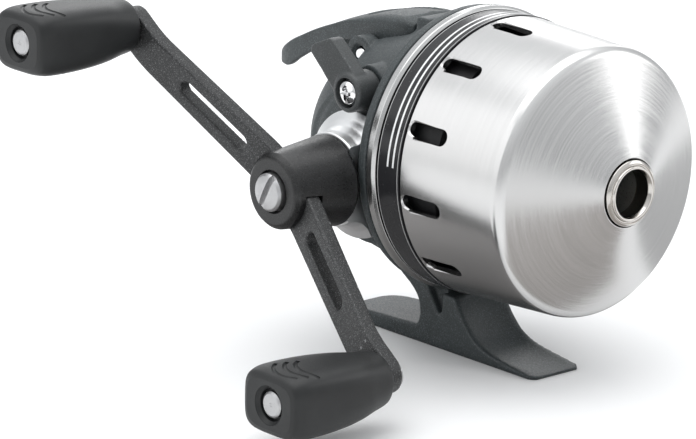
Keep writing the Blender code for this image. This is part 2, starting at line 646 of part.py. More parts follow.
def main_shaft_pieces():
    """The push shaft, its collar, and the rotor that it carries, held by a nut."""
    turned("main_shaft", [(0, 26.4), (1.2, 26.4), (1.5, 26.0), (1.5, -41.0), (0, -41.0)], (0, 0, 0),
           "+X", STEEL, 20)
    tube("shaft_collar", 1.75, 2.6, -39.9, -38.95, (0, 0, 0), "+X", STEEL)
    rotor = turned("rotor_cup", [(4.2, 21.6), (21.0, 20.9), (24.4, 19.2), (25.6, 15.8), (25.6, 8.2),
                                 (24.4, 8.2), (24.4, 15.4), (23.2, 18.2), (20.4, 19.5), (4.2, 20.2),
                                 (4.2, 16.3), (1.75, 16.3), (1.75, 21.6)], (0, 0, 0), "+X", SATIN, 28)
    cut(rotor, rod("pickup_hole", 1.2, 20.0, 30.0, (17.0, 0, 0), "+Z", cutter=True, steps=16))
    nut = [(3.5 * math.cos(math.radians(60 * i)), 3.5 * math.sin(math.radians(60 * i))) for i in range(6)]
    flat("rotor_nut", nut, 1.4, (23.4, 0, 0), "+X", BRASS, holes=[circle((0, 0), 1.75, 16)])
    turned("pickup_pin", [(0, 27.3), (0.5, 27.3), (0.9, 26.9), (0.9, 20.9), (1.4, 20.9), (1.4, 19.9),
                          (0, 19.9)], (17.0, 0, 0), "+Z", STEEL, 16)


def spool_pieces():
    """The carrier that shuttles the spool on the deck's tube, the spool, and its drag washer."""
    carrier = turned("spool_carrier", [(5.6, 15.1), (5.6, 0.5), (10.6, 0.5), (10.6, -0.6), (4.55, -0.6),
                                       (4.55, 15.1)], (0, 0, 0), "+X", BLACK_SATIN, 20)
    join(carrier, rod("carrier_rod", 1.1, -9.0, 0.2, (0, 6.5, 6.5), "+X", cutter=True, steps=12))
    turned("spool", [(5.95, 13.0), (21.0, 13.0), (21.5, 12.4), (20.8, 11.9), (10.5, 11.4), (10.5, 3.2),
                     (23.0, 2.6), (23.6, 2.0), (23.2, 1.5), (5.95, 1.5)], (0, 0, 0), "+X", SPOOL_GREY, 24)
    tube("drag_washer", 5.95, 10.2, 13.3, 13.8, (0, 0, 0), "+X", BRASS)
    tube("spool_clip", 5.95, 8.0, 14.1, 14.7, (0, 0, 0), "+X", STEEL)


# ---------------------------------------------------------------- the cover

def cover():
    """The slotted cover, the printed band round its skirt, and the ring in its nose."""
    wall = COVER_WALL
    shell = turned("front_cover",
                   [(NOSE_RING_R + 0.3, 38.3), (27.6, 29.6), (29.1, 28.6), (29.7, 26.9),
                    (COVER_R, 0.3), (SKIRT_R, 0.2), (SKIRT_R, SKIRT_REAR_X),
                    (SKIRT_R - 1.4, SKIRT_REAR_X), (SKIRT_R - 1.4, -0.6), (COVER_R - wall, 1.4),
                    (COVER_FRONT_R - wall, 26.7), (27.4, 28.0), (NOSE_RING_R + 0.3, 36.9)],
                   (0, 0, 0), "+X", SATIN, 40)
    start, end = SLOT_X
    for i in range(SLOT_COUNT):
        angle = SLOT_FIRST_DEG - 360.0 * i / SLOT_COUNT
        slot = flat(f"cover_slot_{i}", stadium(end - start, SLOT_WIDTH, 4), 4.0,
                    around_spool(COVER_R, angle, (start + end) / 2), cutter=True)
        slot.rotation_euler = (math.radians(90 - angle), 0, 0)
        cut(shell, slot)
    tube("band_sleeve", 30.0, BAND_R, -6.8, -0.1, (0, 0, 0), "+X", BLACK_GLOSS, 40)
    turned("nose_ring", [(6.5, NOSE_X), (NOSE_RING_R, NOSE_X - 0.7), (NOSE_RING_R, 36.4), (8.6, 35.9),
                         (8.6, 35.2), (NOSE_HOLE_R, 35.2), (NOSE_HOLE_R, NOSE_X - 0.7), (5.6, NOSE_X)],
           (0, 0, 0), "+X", POLISHED, 24)


# ---------------------------------------------------------------- levers and drag

def thumb_ring(x, middle, edge, bottom, half, wall=1.5, count=7):
    """One arched section of the thumb lever: over the crown and back under it."""
    def crown(lift, w, drop):
        row = []
        for i in range(count):
            t = -1 + 2 * i / (count - 1)
            row.append((x, w * t, drop + (lift - drop) * (1 - t * t) ** 0.8))
        return row
    outer = [(x, -half, bottom)] + crown(middle, half, edge) + [(x, half, bottom)]
    inner_half = max(half - wall, 1.0)
    top = max(middle - wall, bottom + 0.4)
    low = max(min(edge - wall * 0.6, top - 0.2), bottom + 0.2)
    inner = [(x, -inner_half, bottom)] + crown(top, inner_half, low) + [(x, inner_half, bottom)]
    return outer + inner[::-1]


def thumb_lever():
    """The arched lever over the case with lugs round its pin, and the arm that pushes the shaft."""
    stations = [(-68.2, 12.6, 11.0, 9.9, 5.0), (-67.0, 13.9, 11.6, 9.3, 6.6),
                (-63.5, 15.8, 14.0, 9.2, 7.8), (-59.0, 17.8, 16.6, 12.0, 8.0),
                (-54.6, 19.7, 18.9, 14.5, 8.0), (-49.0, 21.8, 21.2, 17.2, 8.0),
                (-44.0, 23.9, 22.9, 19.0, 8.0), (-38.0, 26.0, 23.4, 19.4, 8.0),
                (-33.0, 27.3, 23.4, 19.8, 8.0), (-28.0, 27.9, 24.4, 21.0, 8.0),
                (-24.6, 27.9, 25.1, 22.0, 7.8), (-22.4, 26.9, 25.3, 23.4, 7.0)]
    px, pz = THUMB_PIVOT
    rings = [[(x - px, y, z - pz) for x, y, z in thumb_ring(*station)] for station in stations]
    lever = loft("thumb_lever", rings, (px, 0, pz), "+Z", PAINT)
    for i, side in enumerate((-1, 1)):
        low, high = sorted((side * 5.8, side * 7.7))
        join(lever, rod(f"thumb_lug_{i}", 2.8, low, high, (px, 0, pz), "-Y", cutter=True))
        web = box(f"thumb_lug_web_{i}", (px - 2.8, min(-high, -low), pz),
                  (px + 2.8, max(-high, -low), pz + 5.6), cutter=True)
        join(lever, web)
    cut(lever, rod("thumb_lug_bore", 1.8, -20, 20, (px, 0, pz), "-Y", cutter=True))

    outline = [(-36.4, 19.9), (-38.6, 21.6), (-41.0, 20.6), (-40.6, 16.0), (-41.6, 9.0), (-43.8, 3.0),
               (-44.2, -1.6), (-41.5, -1.6), (-41.4, 2.0), (-38.6, 8.0), (-36.8, 14.4)]
    outline += arc(THUMB_PIVOT, 3.1, -100, 125, 10)
    side_view("thumb_lever_arm", outline, 1.6, 0.0, STEEL, holes=[circle(THUMB_PIVOT, 1.8, 16)],
              pivot=THUMB_PIVOT)


def anti_reverse():
    """The black lever on its shaft, the finger inside, and the pawl over the ratchet wheel."""
    bx, bz = BRAKE_PIVOT
    at = (bx, 0, bz)
    lever = turned("anti_reverse_lever", [(0, 29.0), (4.0, 29.0), (4.4, 28.5), (4.4, 22.5), (0, 22.5)],
                   at, "-Y", BLACK_SATIN, 20)
    blade = [(-23.4, 12.4), (-25.6, 14.9), (-28.8, 18.0), (-32.4, 21.2), (-32.1, 22.7), (-31.1, 23.3),
             (-26.4, 25.3), (-25.2, 25.0), (-21.6, 22.0), (-17.3, 18.2), (-19.2, 16.8), (-21.7, 14.8)]
    join(lever, side_view("brake_blade", blade, 1.7, -26.6, cutter=True))
    cut(lever, rod("brake_screw_recess", 3.4, 26.4, 32.0, at, "-Y", cutter=True, steps=20),
        rod("brake_screw_bore", 1.8, 20.0, 28.0, at, "-Y", cutter=True, steps=16))
    screw = turned("anti_reverse_screw", [(0, 29.4), (1.6, 29.3), (2.6, 28.8), (3.0, 28.1), (3.0, 26.7),
                                          (1.5, 26.7), (1.5, 10.0), (0, 10.0)], at, "-Y", POLISHED, 16)
    for i, (dx, dz) in enumerate(((1.9, 0.35), (0.35, 1.9))):
        cut(screw, box(f"cross_{i}", (bx - dx, -30, bz - dz), (bx + dx, -28.5, bz + dz), cutter=True))
    finger = [(-1.1, -7.2), (1.1, -7.2), (1.1, -2.4)] + arc((0, 0), 2.5, -45, 225, 13) + [(-1.1, -2.4)]
    finger = [(bx + x, bz + z) for x, z in finger]
    side_view("anti_reverse_finger", finger, 0.8, -10.7, STEEL, pivot=BRAKE_PIVOT,
              holes=[circle(BRAKE_PIVOT, 1.75, 16)])
    px, pz = PAWL_PIVOT
    pawl = arc(PAWL_PIVOT, 2.4, 60, 300, 13) + [(-26.0, 4.7), (-21.6, 4.45), (-19.6, 5.1), (-19.4, 5.8),
                                                (-27.0, 6.6)]
    side_view("anti_reverse_pawl", pawl, 0.8, -10.7, STEEL, pivot=PAWL_PIVOT,
              holes=[circle(PAWL_PIVOT, 1.5, 16)])


def drag():
    """The knurled thumbwheel on its threaded stem, and the shoe that it presses on the spool."""
    teeth, outline = 24, []
    for i in range(teeth):
        for step, radius in ((0.0, DIAL_R), (0.5, DIAL_R - 0.5)):
            angle = 2 * math.pi * (i + step) / teeth
            outline.append((radius * math.cos(angle), radius * math.sin(angle)))
    flat("drag_dial", outline, 1.5, (-15.0, 0, DIAL_Z), "+X", BLACK_SATIN,
         holes=[circle((0, 0), 1.9, 16)])
    turned("drag_stem", [(0, -3.9), (1.6, -3.9), (1.6, -16.5), (0, -16.5)], (0, 0, DIAL_Z), "+X", STEEL, 16)
    turned("drag_shoe", [(0, 0.4), (2.6, 0.4), (2.9, 0.1), (2.9, -0.6), (1.5, -0.6), (1.5, -3.5),
                         (0, -3.5)], (0, 0, DIAL_Z), "+X", BRASS, 20)


def build():
    body_housing()
    deck()
    side_plates()
    fixed_rings()
    return_spring()
    crank_shaft_pieces()
    handle()
    knobs()
    pinion()
    main_shaft_pieces()
    spool_pieces()
    cover()
    thumb_lever()
    anti_reverse()
    drag()


build()
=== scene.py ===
"""Looks of the closed-face (spincast) fishing reel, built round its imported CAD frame.

Shapes are in millimetres from the point where the spool axis meets the front edge of the printed
band, as in the CAD source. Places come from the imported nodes' boxes.
"""
import math

import bmesh
import bpy
from mathutils import Matrix, Vector


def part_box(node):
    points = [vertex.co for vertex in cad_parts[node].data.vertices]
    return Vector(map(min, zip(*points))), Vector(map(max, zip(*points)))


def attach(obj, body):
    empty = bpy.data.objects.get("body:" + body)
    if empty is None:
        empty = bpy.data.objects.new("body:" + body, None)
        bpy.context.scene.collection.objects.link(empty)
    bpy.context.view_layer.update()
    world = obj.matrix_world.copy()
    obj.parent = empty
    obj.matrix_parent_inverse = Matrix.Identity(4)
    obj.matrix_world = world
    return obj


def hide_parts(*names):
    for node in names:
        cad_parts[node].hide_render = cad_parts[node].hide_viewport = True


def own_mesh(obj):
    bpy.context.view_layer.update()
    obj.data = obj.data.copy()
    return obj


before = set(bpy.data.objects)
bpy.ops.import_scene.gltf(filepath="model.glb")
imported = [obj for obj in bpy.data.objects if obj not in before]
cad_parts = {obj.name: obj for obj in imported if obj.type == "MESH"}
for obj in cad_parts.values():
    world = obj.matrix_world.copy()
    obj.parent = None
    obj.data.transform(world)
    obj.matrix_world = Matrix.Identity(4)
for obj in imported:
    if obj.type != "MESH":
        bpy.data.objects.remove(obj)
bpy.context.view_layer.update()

MM = 0.001
BAND_LOW, BAND_HIGH = (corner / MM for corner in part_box("band_sleeve"))
ORIGIN = Vector((BAND_HIGH.x + 0.1, (BAND_LOW.y + BAND_HIGH.y) / 2, (BAND_LOW.z + BAND_HIGH.z) / 2))


def middle(node):
    """A CAD node's centre, measured from the spool axis in millimetres."""
    low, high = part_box(node)
    return (low + high) / (2 * MM) - ORIGIN


CRANK, THUMB_PIVOT = middle("drive_shaft"), middle("thumb_lever_pin")
BRAKE_PIVOT, PAWL_PIVOT = middle("anti_reverse_screw"), middle("pawl_pin")
for pivot in (CRANK, THUMB_PIVOT, BRAKE_PIVOT, PAWL_PIVOT):
    pivot.y = 0.0      # each of them turns about a line across the reel
DIAL = Vector((0, 0, middle("drag_stem").z))
FOOT_Z = -ORIGIN.z
KNOBS = {"upper": middle("knob_pin_upper"), "lower": middle("knob_pin_lower")}
ARM = (KNOBS["upper"] - KNOBS["lower"]) / 2
ARM_LENGTH = ARM.length
ALONG = ARM.normalized()
OUTWARD = Vector((0, -1, 0))
ACROSS = ALONG.cross(OUTWARD)
ARM_ROOT_Y, ARM_RISE, ARM_HALF = 44.0, 9.0, 1.75
FLAT_END, SLOPE_END, BEND = 6.6, 43.6, 3.4      # the strip leans between the first two, by soft bends
TAB_CENTRE, TAB_R = ARM_LENGTH - 0.6, 4.3
SLOT_AT = 23.2
KNOB_START = 55.15
KNOB_LENGTH = 29.6

X, LEFT, RIGHT, UP = Vector((1, 0, 0)), Vector((0, -1, 0)), Vector((0, 1, 0)), Vector((0, 0, 1))
COVER_R, COVER_SHOULDER_R, SKIRT_R = 31.0, 29.6, 29.7
SLOT_COUNT, SLOT_FIRST_DEG, SLOT_X, SLOT_WIDTH = 12, 80.4, (0.6, 11.9), 3.7
DOME_TILT_DEG = 4.0
DOME = [(29.0, -11.5), (28.2, -16.0), (27.0, -22.0), (25.6, -29.0), (23.6, -35.0),
        (20.6, -40.5), (16.0, -45.2), (9.0, -48.4), (0.0, -49.6)]


# -------- outlines

def arc(centre, radius, start, end, count):
    """Points along an arc, in degrees, ends included."""
    angles = [math.radians(start + (end - start) * i / (count - 1)) for i in range(count)]
    return [(centre[0] + radius * math.cos(a), centre[1] + radius * math.sin(a)) for a in angles]


def fillet(points, radius, closed=True):
    """Round an outline's corners. A point may carry its own radius as a third number."""
    made, count, last = [], 5, len(points) - 1
    for i, point in enumerate(points):
        here = Vector(point[:2])
        r = point[2] if len(point) > 2 else radius
        if r <= 0 or (not closed and i in (0, last)):
            made.append(tuple(here))
            continue
        back = Vector(points[i - 1][:2]) - here
        ahead = Vector(points[(i + 1) % len(points)][:2]) - here
        turn = math.pi - back.angle(ahead)
        if turn < math.radians(4):
            made.append(tuple(here))
            continue
        reach = min(r * math.tan(turn / 2), 0.46 * back.length, 0.46 * ahead.length)
        a, b = here + back.normalized() * reach, here + ahead.normalized() * reach
        for k in range(count + 1):
            t = k / count
            made.append(tuple(a * (1 - t) ** 2 + here * 2 * t * (1 - t) + b * t ** 2))
    return made


def smooth(points, per):
    """A Catmull-Rom curve through an open row of points."""
    row = [Vector(p) for p in points]
    row = [row[0] * 2 - row[1]] + row + [row[-1] * 2 - row[-2]]
    made = []
    for a, b, c, d in zip(row, row[1:], row[2:], row[3:]):
        for k in range(per):
            t = k / per
            made.append(tuple(0.5 * (2 * b + (c - a) * t + (2 * a - 5 * b + 4 * c - d) * t * t
                                     + (3 * b - a - 3 * c + d) * t ** 3)))
    return made + [tuple(row[-2])]


def grown(outline, by):
    """An outline moved outwards by a distance, for one that runs anticlockwise."""
    made = []
    for i, point in enumerate(outline):
        a, b = Vector(outline[i - 1]), Vector(outline[(i + 1) % len(outline)])
        along = (b - a).normalized()
        made.append((point[0] + along.y * by, point[1] - along.x * by))
    return made


def stadium(length, width, count=14):
    """A slot's outline along its own X, round at both ends."""
    reach, radius = (length - width) / 2, width / 2
    return arc((reach, 0), radius, -90, 90, count) + arc((-reach, 0), radius, 90, 270, count)


# -------- solids

def basis(direction, side=None):
    """Two unit vectors square to a direction, and the direction itself."""
    d = Vector(direction).normalized()
    u = (Vector(side) if side else (UP if abs(d.z) < 0.9 else X).cross(d)).normalized()
    return u, d.cross(u), d


def solid(name, rows, faces):
    """A closed mesh object in place, from points in millimetres measured from the spool axis."""
    bm = bmesh.new()
    made = [bm.verts.new((ORIGIN + Vector(p)) * MM) for p in rows]
    for face in faces:
        bm.faces.new([made[i] for i in face])
    bmesh.ops.recalc_face_normals(bm, faces=bm.faces)
    mesh = bpy.data.meshes.new(name)
    bm.to_mesh(mesh)
    bm.free()
    obj = bpy.data.objects.new(name, mesh)
    bpy.context.scene.collection.objects.link(obj)
    return obj


def skin(name, rings):
    """Skin a row of closed rings with equal point counts, and cap both ends."""
    count = len(rings[0])
    points = [p for ring in rings for p in ring]
    faces = [[j * count + i, j * count + (i + 1) % count, (j + 1) * count + (i + 1) % count,
              (j + 1) * count + i] for j in range(len(rings) - 1) for i in range(count)]
    faces += [list(range(count)), list(range((len(rings) - 1) * count, len(rings) * count))]
    return solid(name, points, faces)


def lathe(name, profile, at=(0, 0, 0), facing=X, steps=96, rounding=0.0):
    """Turn a profile of (radius, height) round an axis. It is a ring unless it starts on the axis."""
    is_ring = profile[0][0] > 0
    profile = fillet(profile, rounding, is_ring)
    u, v, d = basis(facing)
    at = Vector(at)
    points, rows = [], []
    for r, h in profile:
        if r < 1e-6:
            rows.append([len(points)])
            points.append(at + d * h)
            continue
        rows.append(list(range(len(points), len(points) + steps)))
        for i in range(steps):
            a = 2 * math.pi * i / steps
            points.append(at + (u * math.cos(a) + v * math.sin(a)) * r + d * h)
    faces = []
    pairs = list(zip(rows, rows[1:])) + ([(rows[-1], rows[0])] if is_ring else [])
    for a, b in pairs:
        for i in range(steps):
            k = (i + 1) % steps
            if len(a) == 1:
                faces.append([a[0], b[i], b[k]])
            elif len(b) == 1:
                faces.append([a[i], b[0], a[k]])
            else:
                faces.append([a[i], b[i], b[k], a[k]])
    return solid(name, points, faces)


def bar(name, radius, low, high, at, facing, steps=48):
    """A plain round bar, for cutting and joining."""
    return lathe(name, [(0, high), (radius, high), (radius, low), (0, low)], at, facing, steps)


def slab(name, outline, low, high, at=(0, 0, 0), facing=UP, side=None, flare=0.0):
    """A flat outline, extruded from low to high, with its top opened out by a flare."""
    u, v, d = basis(facing, side)
    levels = [(low, 0.0), (high, 0.0)]
    if flare:
        levels = [(low, 0.0), (high - flare, 0.0), (high + 1.0, flare + 1.0)]
    return skin(name, [[Vector(at) + u * p + v * q + d * h for p, q in grown(outline, g)]
                       for h, g in levels])


def side_view(name, outline, half, y=0.0):
    """An outline drawn in X and Z, extruded along Y."""
    return skin(name, [[(p, y + s * half, q) for p, q in outline] for s in (-1, 1)])


def block(name, low, high):
    """A plain box between two corners, for cutting and joining."""
    return side_view(name, [(low[0], low[2]), (high[0], low[2]), (high[0], high[2]), (low[0], high[2])],
                     (high[1] - low[1]) / 2, (high[1] + low[1]) / 2)


def settle(obj):
    """Apply an object's modifiers."""
    bpy.context.view_layer.update()
    graph = bpy.context.evaluated_depsgraph_get()
    mesh = bpy.data.meshes.new_from_object(obj.evaluated_get(graph), depsgraph=graph)
    obj.modifiers.clear()
    obj.data = mesh
    return obj


WELD = 0.002      # corners closer than this, in mm, are made one after a cut or a join


def combine(obj, others, operation):
    """Cut, join or intersect with others, which are then removed."""
    for other in others:
        change = obj.modifiers.new("combine", "BOOLEAN")
        change.operation = operation
        change.object = other
    settle(obj)
    for other in others:
        bpy.data.objects.remove(other)
    bm = bmesh.new()
    bm.from_mesh(obj.data)
    bmesh.ops.remove_doubles(bm, verts=bm.verts, dist=WELD * MM)
    bm.to_mesh(obj.data)
    bm.free()
    return obj


def cut(obj, *others):
    return combine(obj, others, "DIFFERENCE")


def join(obj, *others):
    return combine(obj, others, "UNION")


def keep_inside(obj, *others):
    return combine(obj, others, "INTERSECT")


def cast(obj, voxel, rounds):
    """Round every edge and inside corner a little, as in a painted casting or a moulding."""
    remesh = obj.modifiers.new("remesh", "REMESH")
    remesh.mode = "VOXEL"
    remesh.voxel_size = voxel * MM
    relax = obj.modifiers.new("relax", "SMOOTH")
    relax.iterations = rounds
    relax.factor = 0.5
    return settle(obj)


def chamfer(obj, width):
    """Round the sharp edges."""
    bevel = obj.modifiers.new("chamfer", "BEVEL")
    bevel.width = width * MM
    bevel.segments = 3
    bevel.limit_method = "ANGLE"
    bevel.angle_limit = math.radians(32)
    return settle(obj)


def show(obj, body, look, slot, *nodes, crease=34.0):
    """Finish a piece: its shading, its material, its body, and the CAD node that it stands for."""
    obj.data.shade_smooth()
    obj.data.set_sharp_from_angle(angle=math.radians(crease))
    even = obj.modifiers.new("even_normals", "WEIGHTED_NORMAL")
    even.keep_sharp = True
    settle(obj)
    obj.data.materials.clear()
    obj.data.materials.append(look)
    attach(obj, body)
    if nodes:
        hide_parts(*nodes)
    return obj


def turned(name, profile, body, look, slot, at=(0, 0, 0), facing=X, steps=96, rounding=0.0):
    """A finished turned piece, which stands for the CAD node of its own name."""
    show(lathe(name, profile, at, facing, steps, rounding), body, look, slot, name)


def around_spool(radius, degrees, x):
    """The place at an angle round the spool axis, counted from the handle side upwards."""
    angle = math.radians(degrees)
    return Vector((x, -radius * math.cos(angle), radius * math.sin(angle)))


# -------- materials

class Look:
    """A Principled material and short calls for the nodes that feed it."""

    def __init__(self, name, colour, roughness, metallic=0.0, **sockets):
        self.material = bpy.data.materials.new(name)
        self.material.use_nodes = True
        self.tree = self.material.node_tree
        self.shader = self.tree.nodes["Principled BSDF"]
        self.set("Base Color", (*colour, 1.0))
        self.set("Roughness", roughness)
        self.set("Metallic", metallic)
        for socket, value in sockets.items():
            self.set(socket.replace("_", " "), value)
        self.place = self.node("TexCoord").outputs["Object"]

    def set(self, socket, value):
        """Give the shader a uniform value."""
        self.shader.inputs[socket].default_value = value

    def node(self, kind, **settings):
        made = self.tree.nodes.new("ShaderNode" + kind)
        for name, value in settings.items():
            setattr(made, name, value)
        return made

    def feed(self, value, socket):
        """Give a socket a link or a plain value."""
        if isinstance(value, bpy.types.NodeSocket):
            self.tree.links.new(value, socket)
        else:
            socket.default_value = value

    def drive(self, value, socket):
        self.feed(value, self.shader.inputs[socket])

    def math(self, operation, *values):
        made = self.node("Math", operation=operation)
        for value, socket in zip(values, made.inputs):
            self.feed(value, socket)
        return made.outputs[0]

    def times(self, a, b):
        return self.math("MULTIPLY", a, b)

    def texture(self, place, scale, detail, roughness=0.5):
        """Soft noise from 0 to 1."""
        made = self.node("TexNoise")
        for socket, value in (("Vector", place), ("Scale", scale), ("Detail", detail),
                              ("Roughness", roughness)):
            self.feed(value, made.inputs[socket])
        return made.outputs["Fac"]

    def noise(self, size, detail=2.0):
        """Soft noise whose grain has a given size in millimetres."""
        return self.texture(self.place, 1.0 / (size * MM), detail)

    def span(self, value, low, high, to_low, to_high):
        """Map a range of values on to another, held at both ends."""
        made = self.node("MapRange")
        for socket, number in zip(made.inputs, (value, low, high, to_low, to_high)):
            self.feed(number, socket)
        return made.outputs[0]

    def mix(self, factor, a, b):
        made = self.node("Mix", data_type="RGBA")
        for socket, value in ((made.inputs[0], factor), (made.inputs[6], a), (made.inputs[7], b)):
            self.feed((*value, 1.0) if isinstance(value, tuple) and len(value) == 3 else value, socket)
        return made.outputs[2]

    def bump(self, height, depth, strength):
        """Raise the surface by a height from 0 to 1, times a depth in millimetres."""
        made = self.node("Bump")
        made.inputs["Strength"].default_value = strength
        made.inputs["Distance"].default_value = depth * MM
        self.feed(height, made.inputs["Height"])
        self.drive(made.outputs["Normal"], "Normal")

    def edges(self, low=0.53, high=0.6):
        """Nearly 0 on faces and 1 on outside edges."""
        return self.span(self.node("NewGeometry").outputs["Pointiness"], low, high, 0.0, 1.0)

    def polar(self):
        """The distance along the spool axis, the radius round it and the angle, in mm and degrees."""
        parts = self.node("SeparateXYZ")
        self.feed(self.place, parts.inputs[0])
        zeros = (ORIGIN.x, 0.0, ORIGIN.z)
        along, right, height = [self.times(self.math("SUBTRACT", value, zero * MM), 1 / MM)
                                for value, zero in zip(parts.outputs, zeros)]
        side = self.times(right, -1.0)
        radius = self.math("SQRT", self.math("ADD", self.times(side, side), self.times(height, height)))
        angle = self.times(self.math("ARCTAN2", height, side), 180 / math.pi)
        return along, radius, angle

    def vector(self, x, y, z):
        made = self.node("CombineXYZ")
        for value, socket in zip((x, y, z), made.inputs):
            self.feed(value, socket)
        return made.outputs[0]


def painted(name, colour, sparkle, grain=0.42, edge_highlight=0.0, roughness=0.5):
    """Textured paint on a casting: a fine pebbled coat with lighter specks."""
    look = Look(name, colour, roughness, Specular_IOR_Level=0.5)
    coat = look.noise(grain, 3.0)
    speck = look.span(look.noise(grain * 0.45, 1.0), 0.56, 0.74, 0.0, 1.0)
    cloud = look.noise(9.0, 2.0)
    tone = look.mix(look.span(cloud, 0.3, 0.7, 0.0, 1.0), tuple(c * 0.86 for c in colour),
                    tuple(c * 1.12 for c in colour))
    tone = look.mix(look.times(speck, 0.55), tone, sparkle)
    # Outside edges painted lighter, towards the speck colour: a painted highlight along the edges.
    if edge_highlight:
        tone = look.mix(look.times(look.edges(), edge_highlight), tone, sparkle)
    look.drive(tone, "Base Color")
    look.drive(look.span(coat, 0.3, 0.7, roughness - 0.1, roughness + 0.1), "Roughness")
    look.bump(coat, 0.055, 0.55)
    return look.material


def brushed_cover():
    """Turned aluminium: fine rings round the spool axis, strong on the cone and faint on the side."""
    look = Look("turned_aluminium", (0.80, 0.80, 0.81), 0.24, 1.0, Anisotropic=0.72)
    along, radius, angle = look.polar()
    slow_angle = look.times(look.math("SINE", look.times(angle, 0.035)), 0.5)
    place = look.vector(look.times(along, 0.5), radius, slow_angle)
    rings = look.texture(place, 2.6, 4.0, 0.7)
    depth = look.span(along, 28.4, 29.6, 0.3, 1.0)
    groove = look.times(look.math("SUBTRACT", rings, 0.5), depth)
    look.bump(look.times(groove, depth), 0.036, 0.6)
    look.drive(look.span(groove, -0.2, 0.2, 0.19, 0.27), "Roughness")
    tone = look.mix(look.span(groove, -0.15, 0.15, 0.0, 1.0), (0.60, 0.596, 0.592), (0.675, 0.67, 0.665))
    look.drive(tone, "Base Color")
    tangent = look.node("Tangent", direction_type="RADIAL", axis="X")
    look.drive(tangent.outputs[0], "Tangent")
    return look.material


def metal(name, colour, roughness, grain=0.3, strength=0.3):
    """Bare metal with a light grain in its gloss and its surface."""
    look = Look(name, colour, roughness, 1.0)
    grit = look.noise(grain, 3.0)
    look.drive(look.span(grit, 0.3, 0.7, roughness * 0.75, roughness * 1.3), "Roughness")
    look.bump(grit, 0.01, strength)
    tone = look.mix(look.noise(6.0), tuple(c * 0.93 for c in colour), colour)
    look.drive(tone, "Base Color")
    return look.material


def printed_band():
    """Gloss black with two white pinstripes round its handle side and a painted highlight line along each
    edge.
    """
    look = Look("band_gloss", (0.02, 0.02, 0.022), 0.24, Specular_IOR_Level=0.4)
    along, _, angle = look.polar()
    # The wider pair are printed pinstripes; the thin pair are painted highlight lines along the band's two
    # edges.
    stripes, painted_edge_highlights = [look.math("MAXIMUM", *[look.math("COMPARE", along, at, half) for at in places])
                      for half, places in ((0.26, (-3.55, -1.9)), (0.09, (-6.55, -0.42)))]
    stripes = look.times(stripes, look.math("COMPARE", angle, 62.0, 58.5))
    # The near-white print, and the painted edge highlights at a little over half strength.
    print_and_painted_highlights = look.math("MAXIMUM", stripes, look.times(painted_edge_highlights, 0.55))
    ground = look.mix(look.noise(4.0), (0.016, 0.016, 0.018), (0.024, 0.024, 0.026))
    look.drive(look.mix(print_and_painted_highlights, ground, (0.82, 0.82, 0.82)), "Base Color")
    look.drive(look.span(look.noise(0.8), 0.3, 0.7, 0.18, 0.28), "Roughness")
    look.bump(print_and_painted_highlights, 0.02, 0.4)
    return look.material


def moulded(name, colour, roughness, grain, depth, gloss):
    """Black plastic or rubber with a fine skin, paler on its edges."""
    look = Look(name, colour, roughness, Specular_IOR_Level=gloss)
    skin_noise = look.noise(grain, 3.0)
    tone = look.mix(look.noise(5.0), tuple(c * 0.8 for c in colour), tuple(c * 1.35 for c in colour))
    tone = look.mix(look.times(look.edges(0.52, 0.62), 0.5), tone, tuple(c * 3.2 for c in colour))
    look.drive(tone, "Base Color")
    look.drive(look.span(skin_noise, 0.3, 0.7, roughness * 0.86, roughness * 1.16), "Roughness")
    look.bump(skin_noise, depth, 0.5)
    return look.material


def floor_look():
    """Matt off-white with faint clouds."""
    look = Look("pale_floor", (0.94, 0.94, 0.94), 0.9, Specular_IOR_Level=0.1)
    look.drive(look.mix(look.noise(120.0), (0.93, 0.93, 0.93), (0.95, 0.95, 0.95)), "Base Color")
    return look.material


PAINT = painted("grey_casting_paint", (0.033, 0.040, 0.042), (0.20, 0.23, 0.24))
STRIP_PAINT = painted("handle_paint", (0.015, 0.0155, 0.016), (0.30, 0.305, 0.31), 0.46, edge_highlight=0.7)
COVER = brushed_cover()
POLISHED = metal("polished_metal", (0.86, 0.86, 0.865), 0.09, grain=0.5, strength=0.1)
SATIN = metal("satin_metal", (0.50, 0.50, 0.505), 0.4)
NECK = metal("neck_metal", (0.88, 0.885, 0.89), 0.4, strength=0.02)
TRIM = metal("trim_metal", (0.55, 0.55, 0.545), 0.2, strength=0.03)
ROTOR = metal("rotor_metal", (0.90, 0.90, 0.88), 0.34)
NOSE = metal("nose_ring_metal", (0.60, 0.575, 0.545), 0.16)
STEEL = metal("machined_steel", (0.58, 0.58, 0.58), 0.28)
BRASS = metal("brass", (0.70, 0.50, 0.21), 0.27)
SPOOL = metal("anodised_spool", (0.34, 0.35, 0.36), 0.33)
BAND = printed_band()
LACQUER = painted("black_crackle_paint", (0.006, 0.0062, 0.0064), (0.075, 0.075, 0.078), 0.36,
                  roughness=0.34)
BLADE_PAINT = painted("brake_lever_paint", (0.042, 0.046, 0.047), (0.18, 0.185, 0.19), 0.36, edge_highlight=0.3,
                      roughness=0.42)
SOFT = moulded("soft_black_grip", (0.014, 0.0148, 0.0152), 0.44, 0.22, 0.02, 0.38)
MOULDING = moulded("black_moulding", (0.016, 0.016, 0.017), 0.5, 0.5, 0.02, 0.3)
WHITE_INK = painted("white_ink", (0.80, 0.80, 0.80), (0.88, 0.88, 0.87), 0.3)


# -------- the cover

def slot_outline():
    """A slot along the axis, whose rear end is narrower and leaves a small step on its lower side."""
    start, end = SLOT_X
    half, centre = SLOT_WIDTH / 2, (start + end) / 2
    rear_r = 1.5
    rear = (start + rear_r - centre, half - rear_r)
    front = (end - half - centre, 0)
    step = start + 1.9 - centre
    return arc(rear, rear_r, 90, 262, 12) + fillet([(step, -half + 0.5), (step, -half)], 0, False) \
        + arc(front, half, -90, 90, 16)


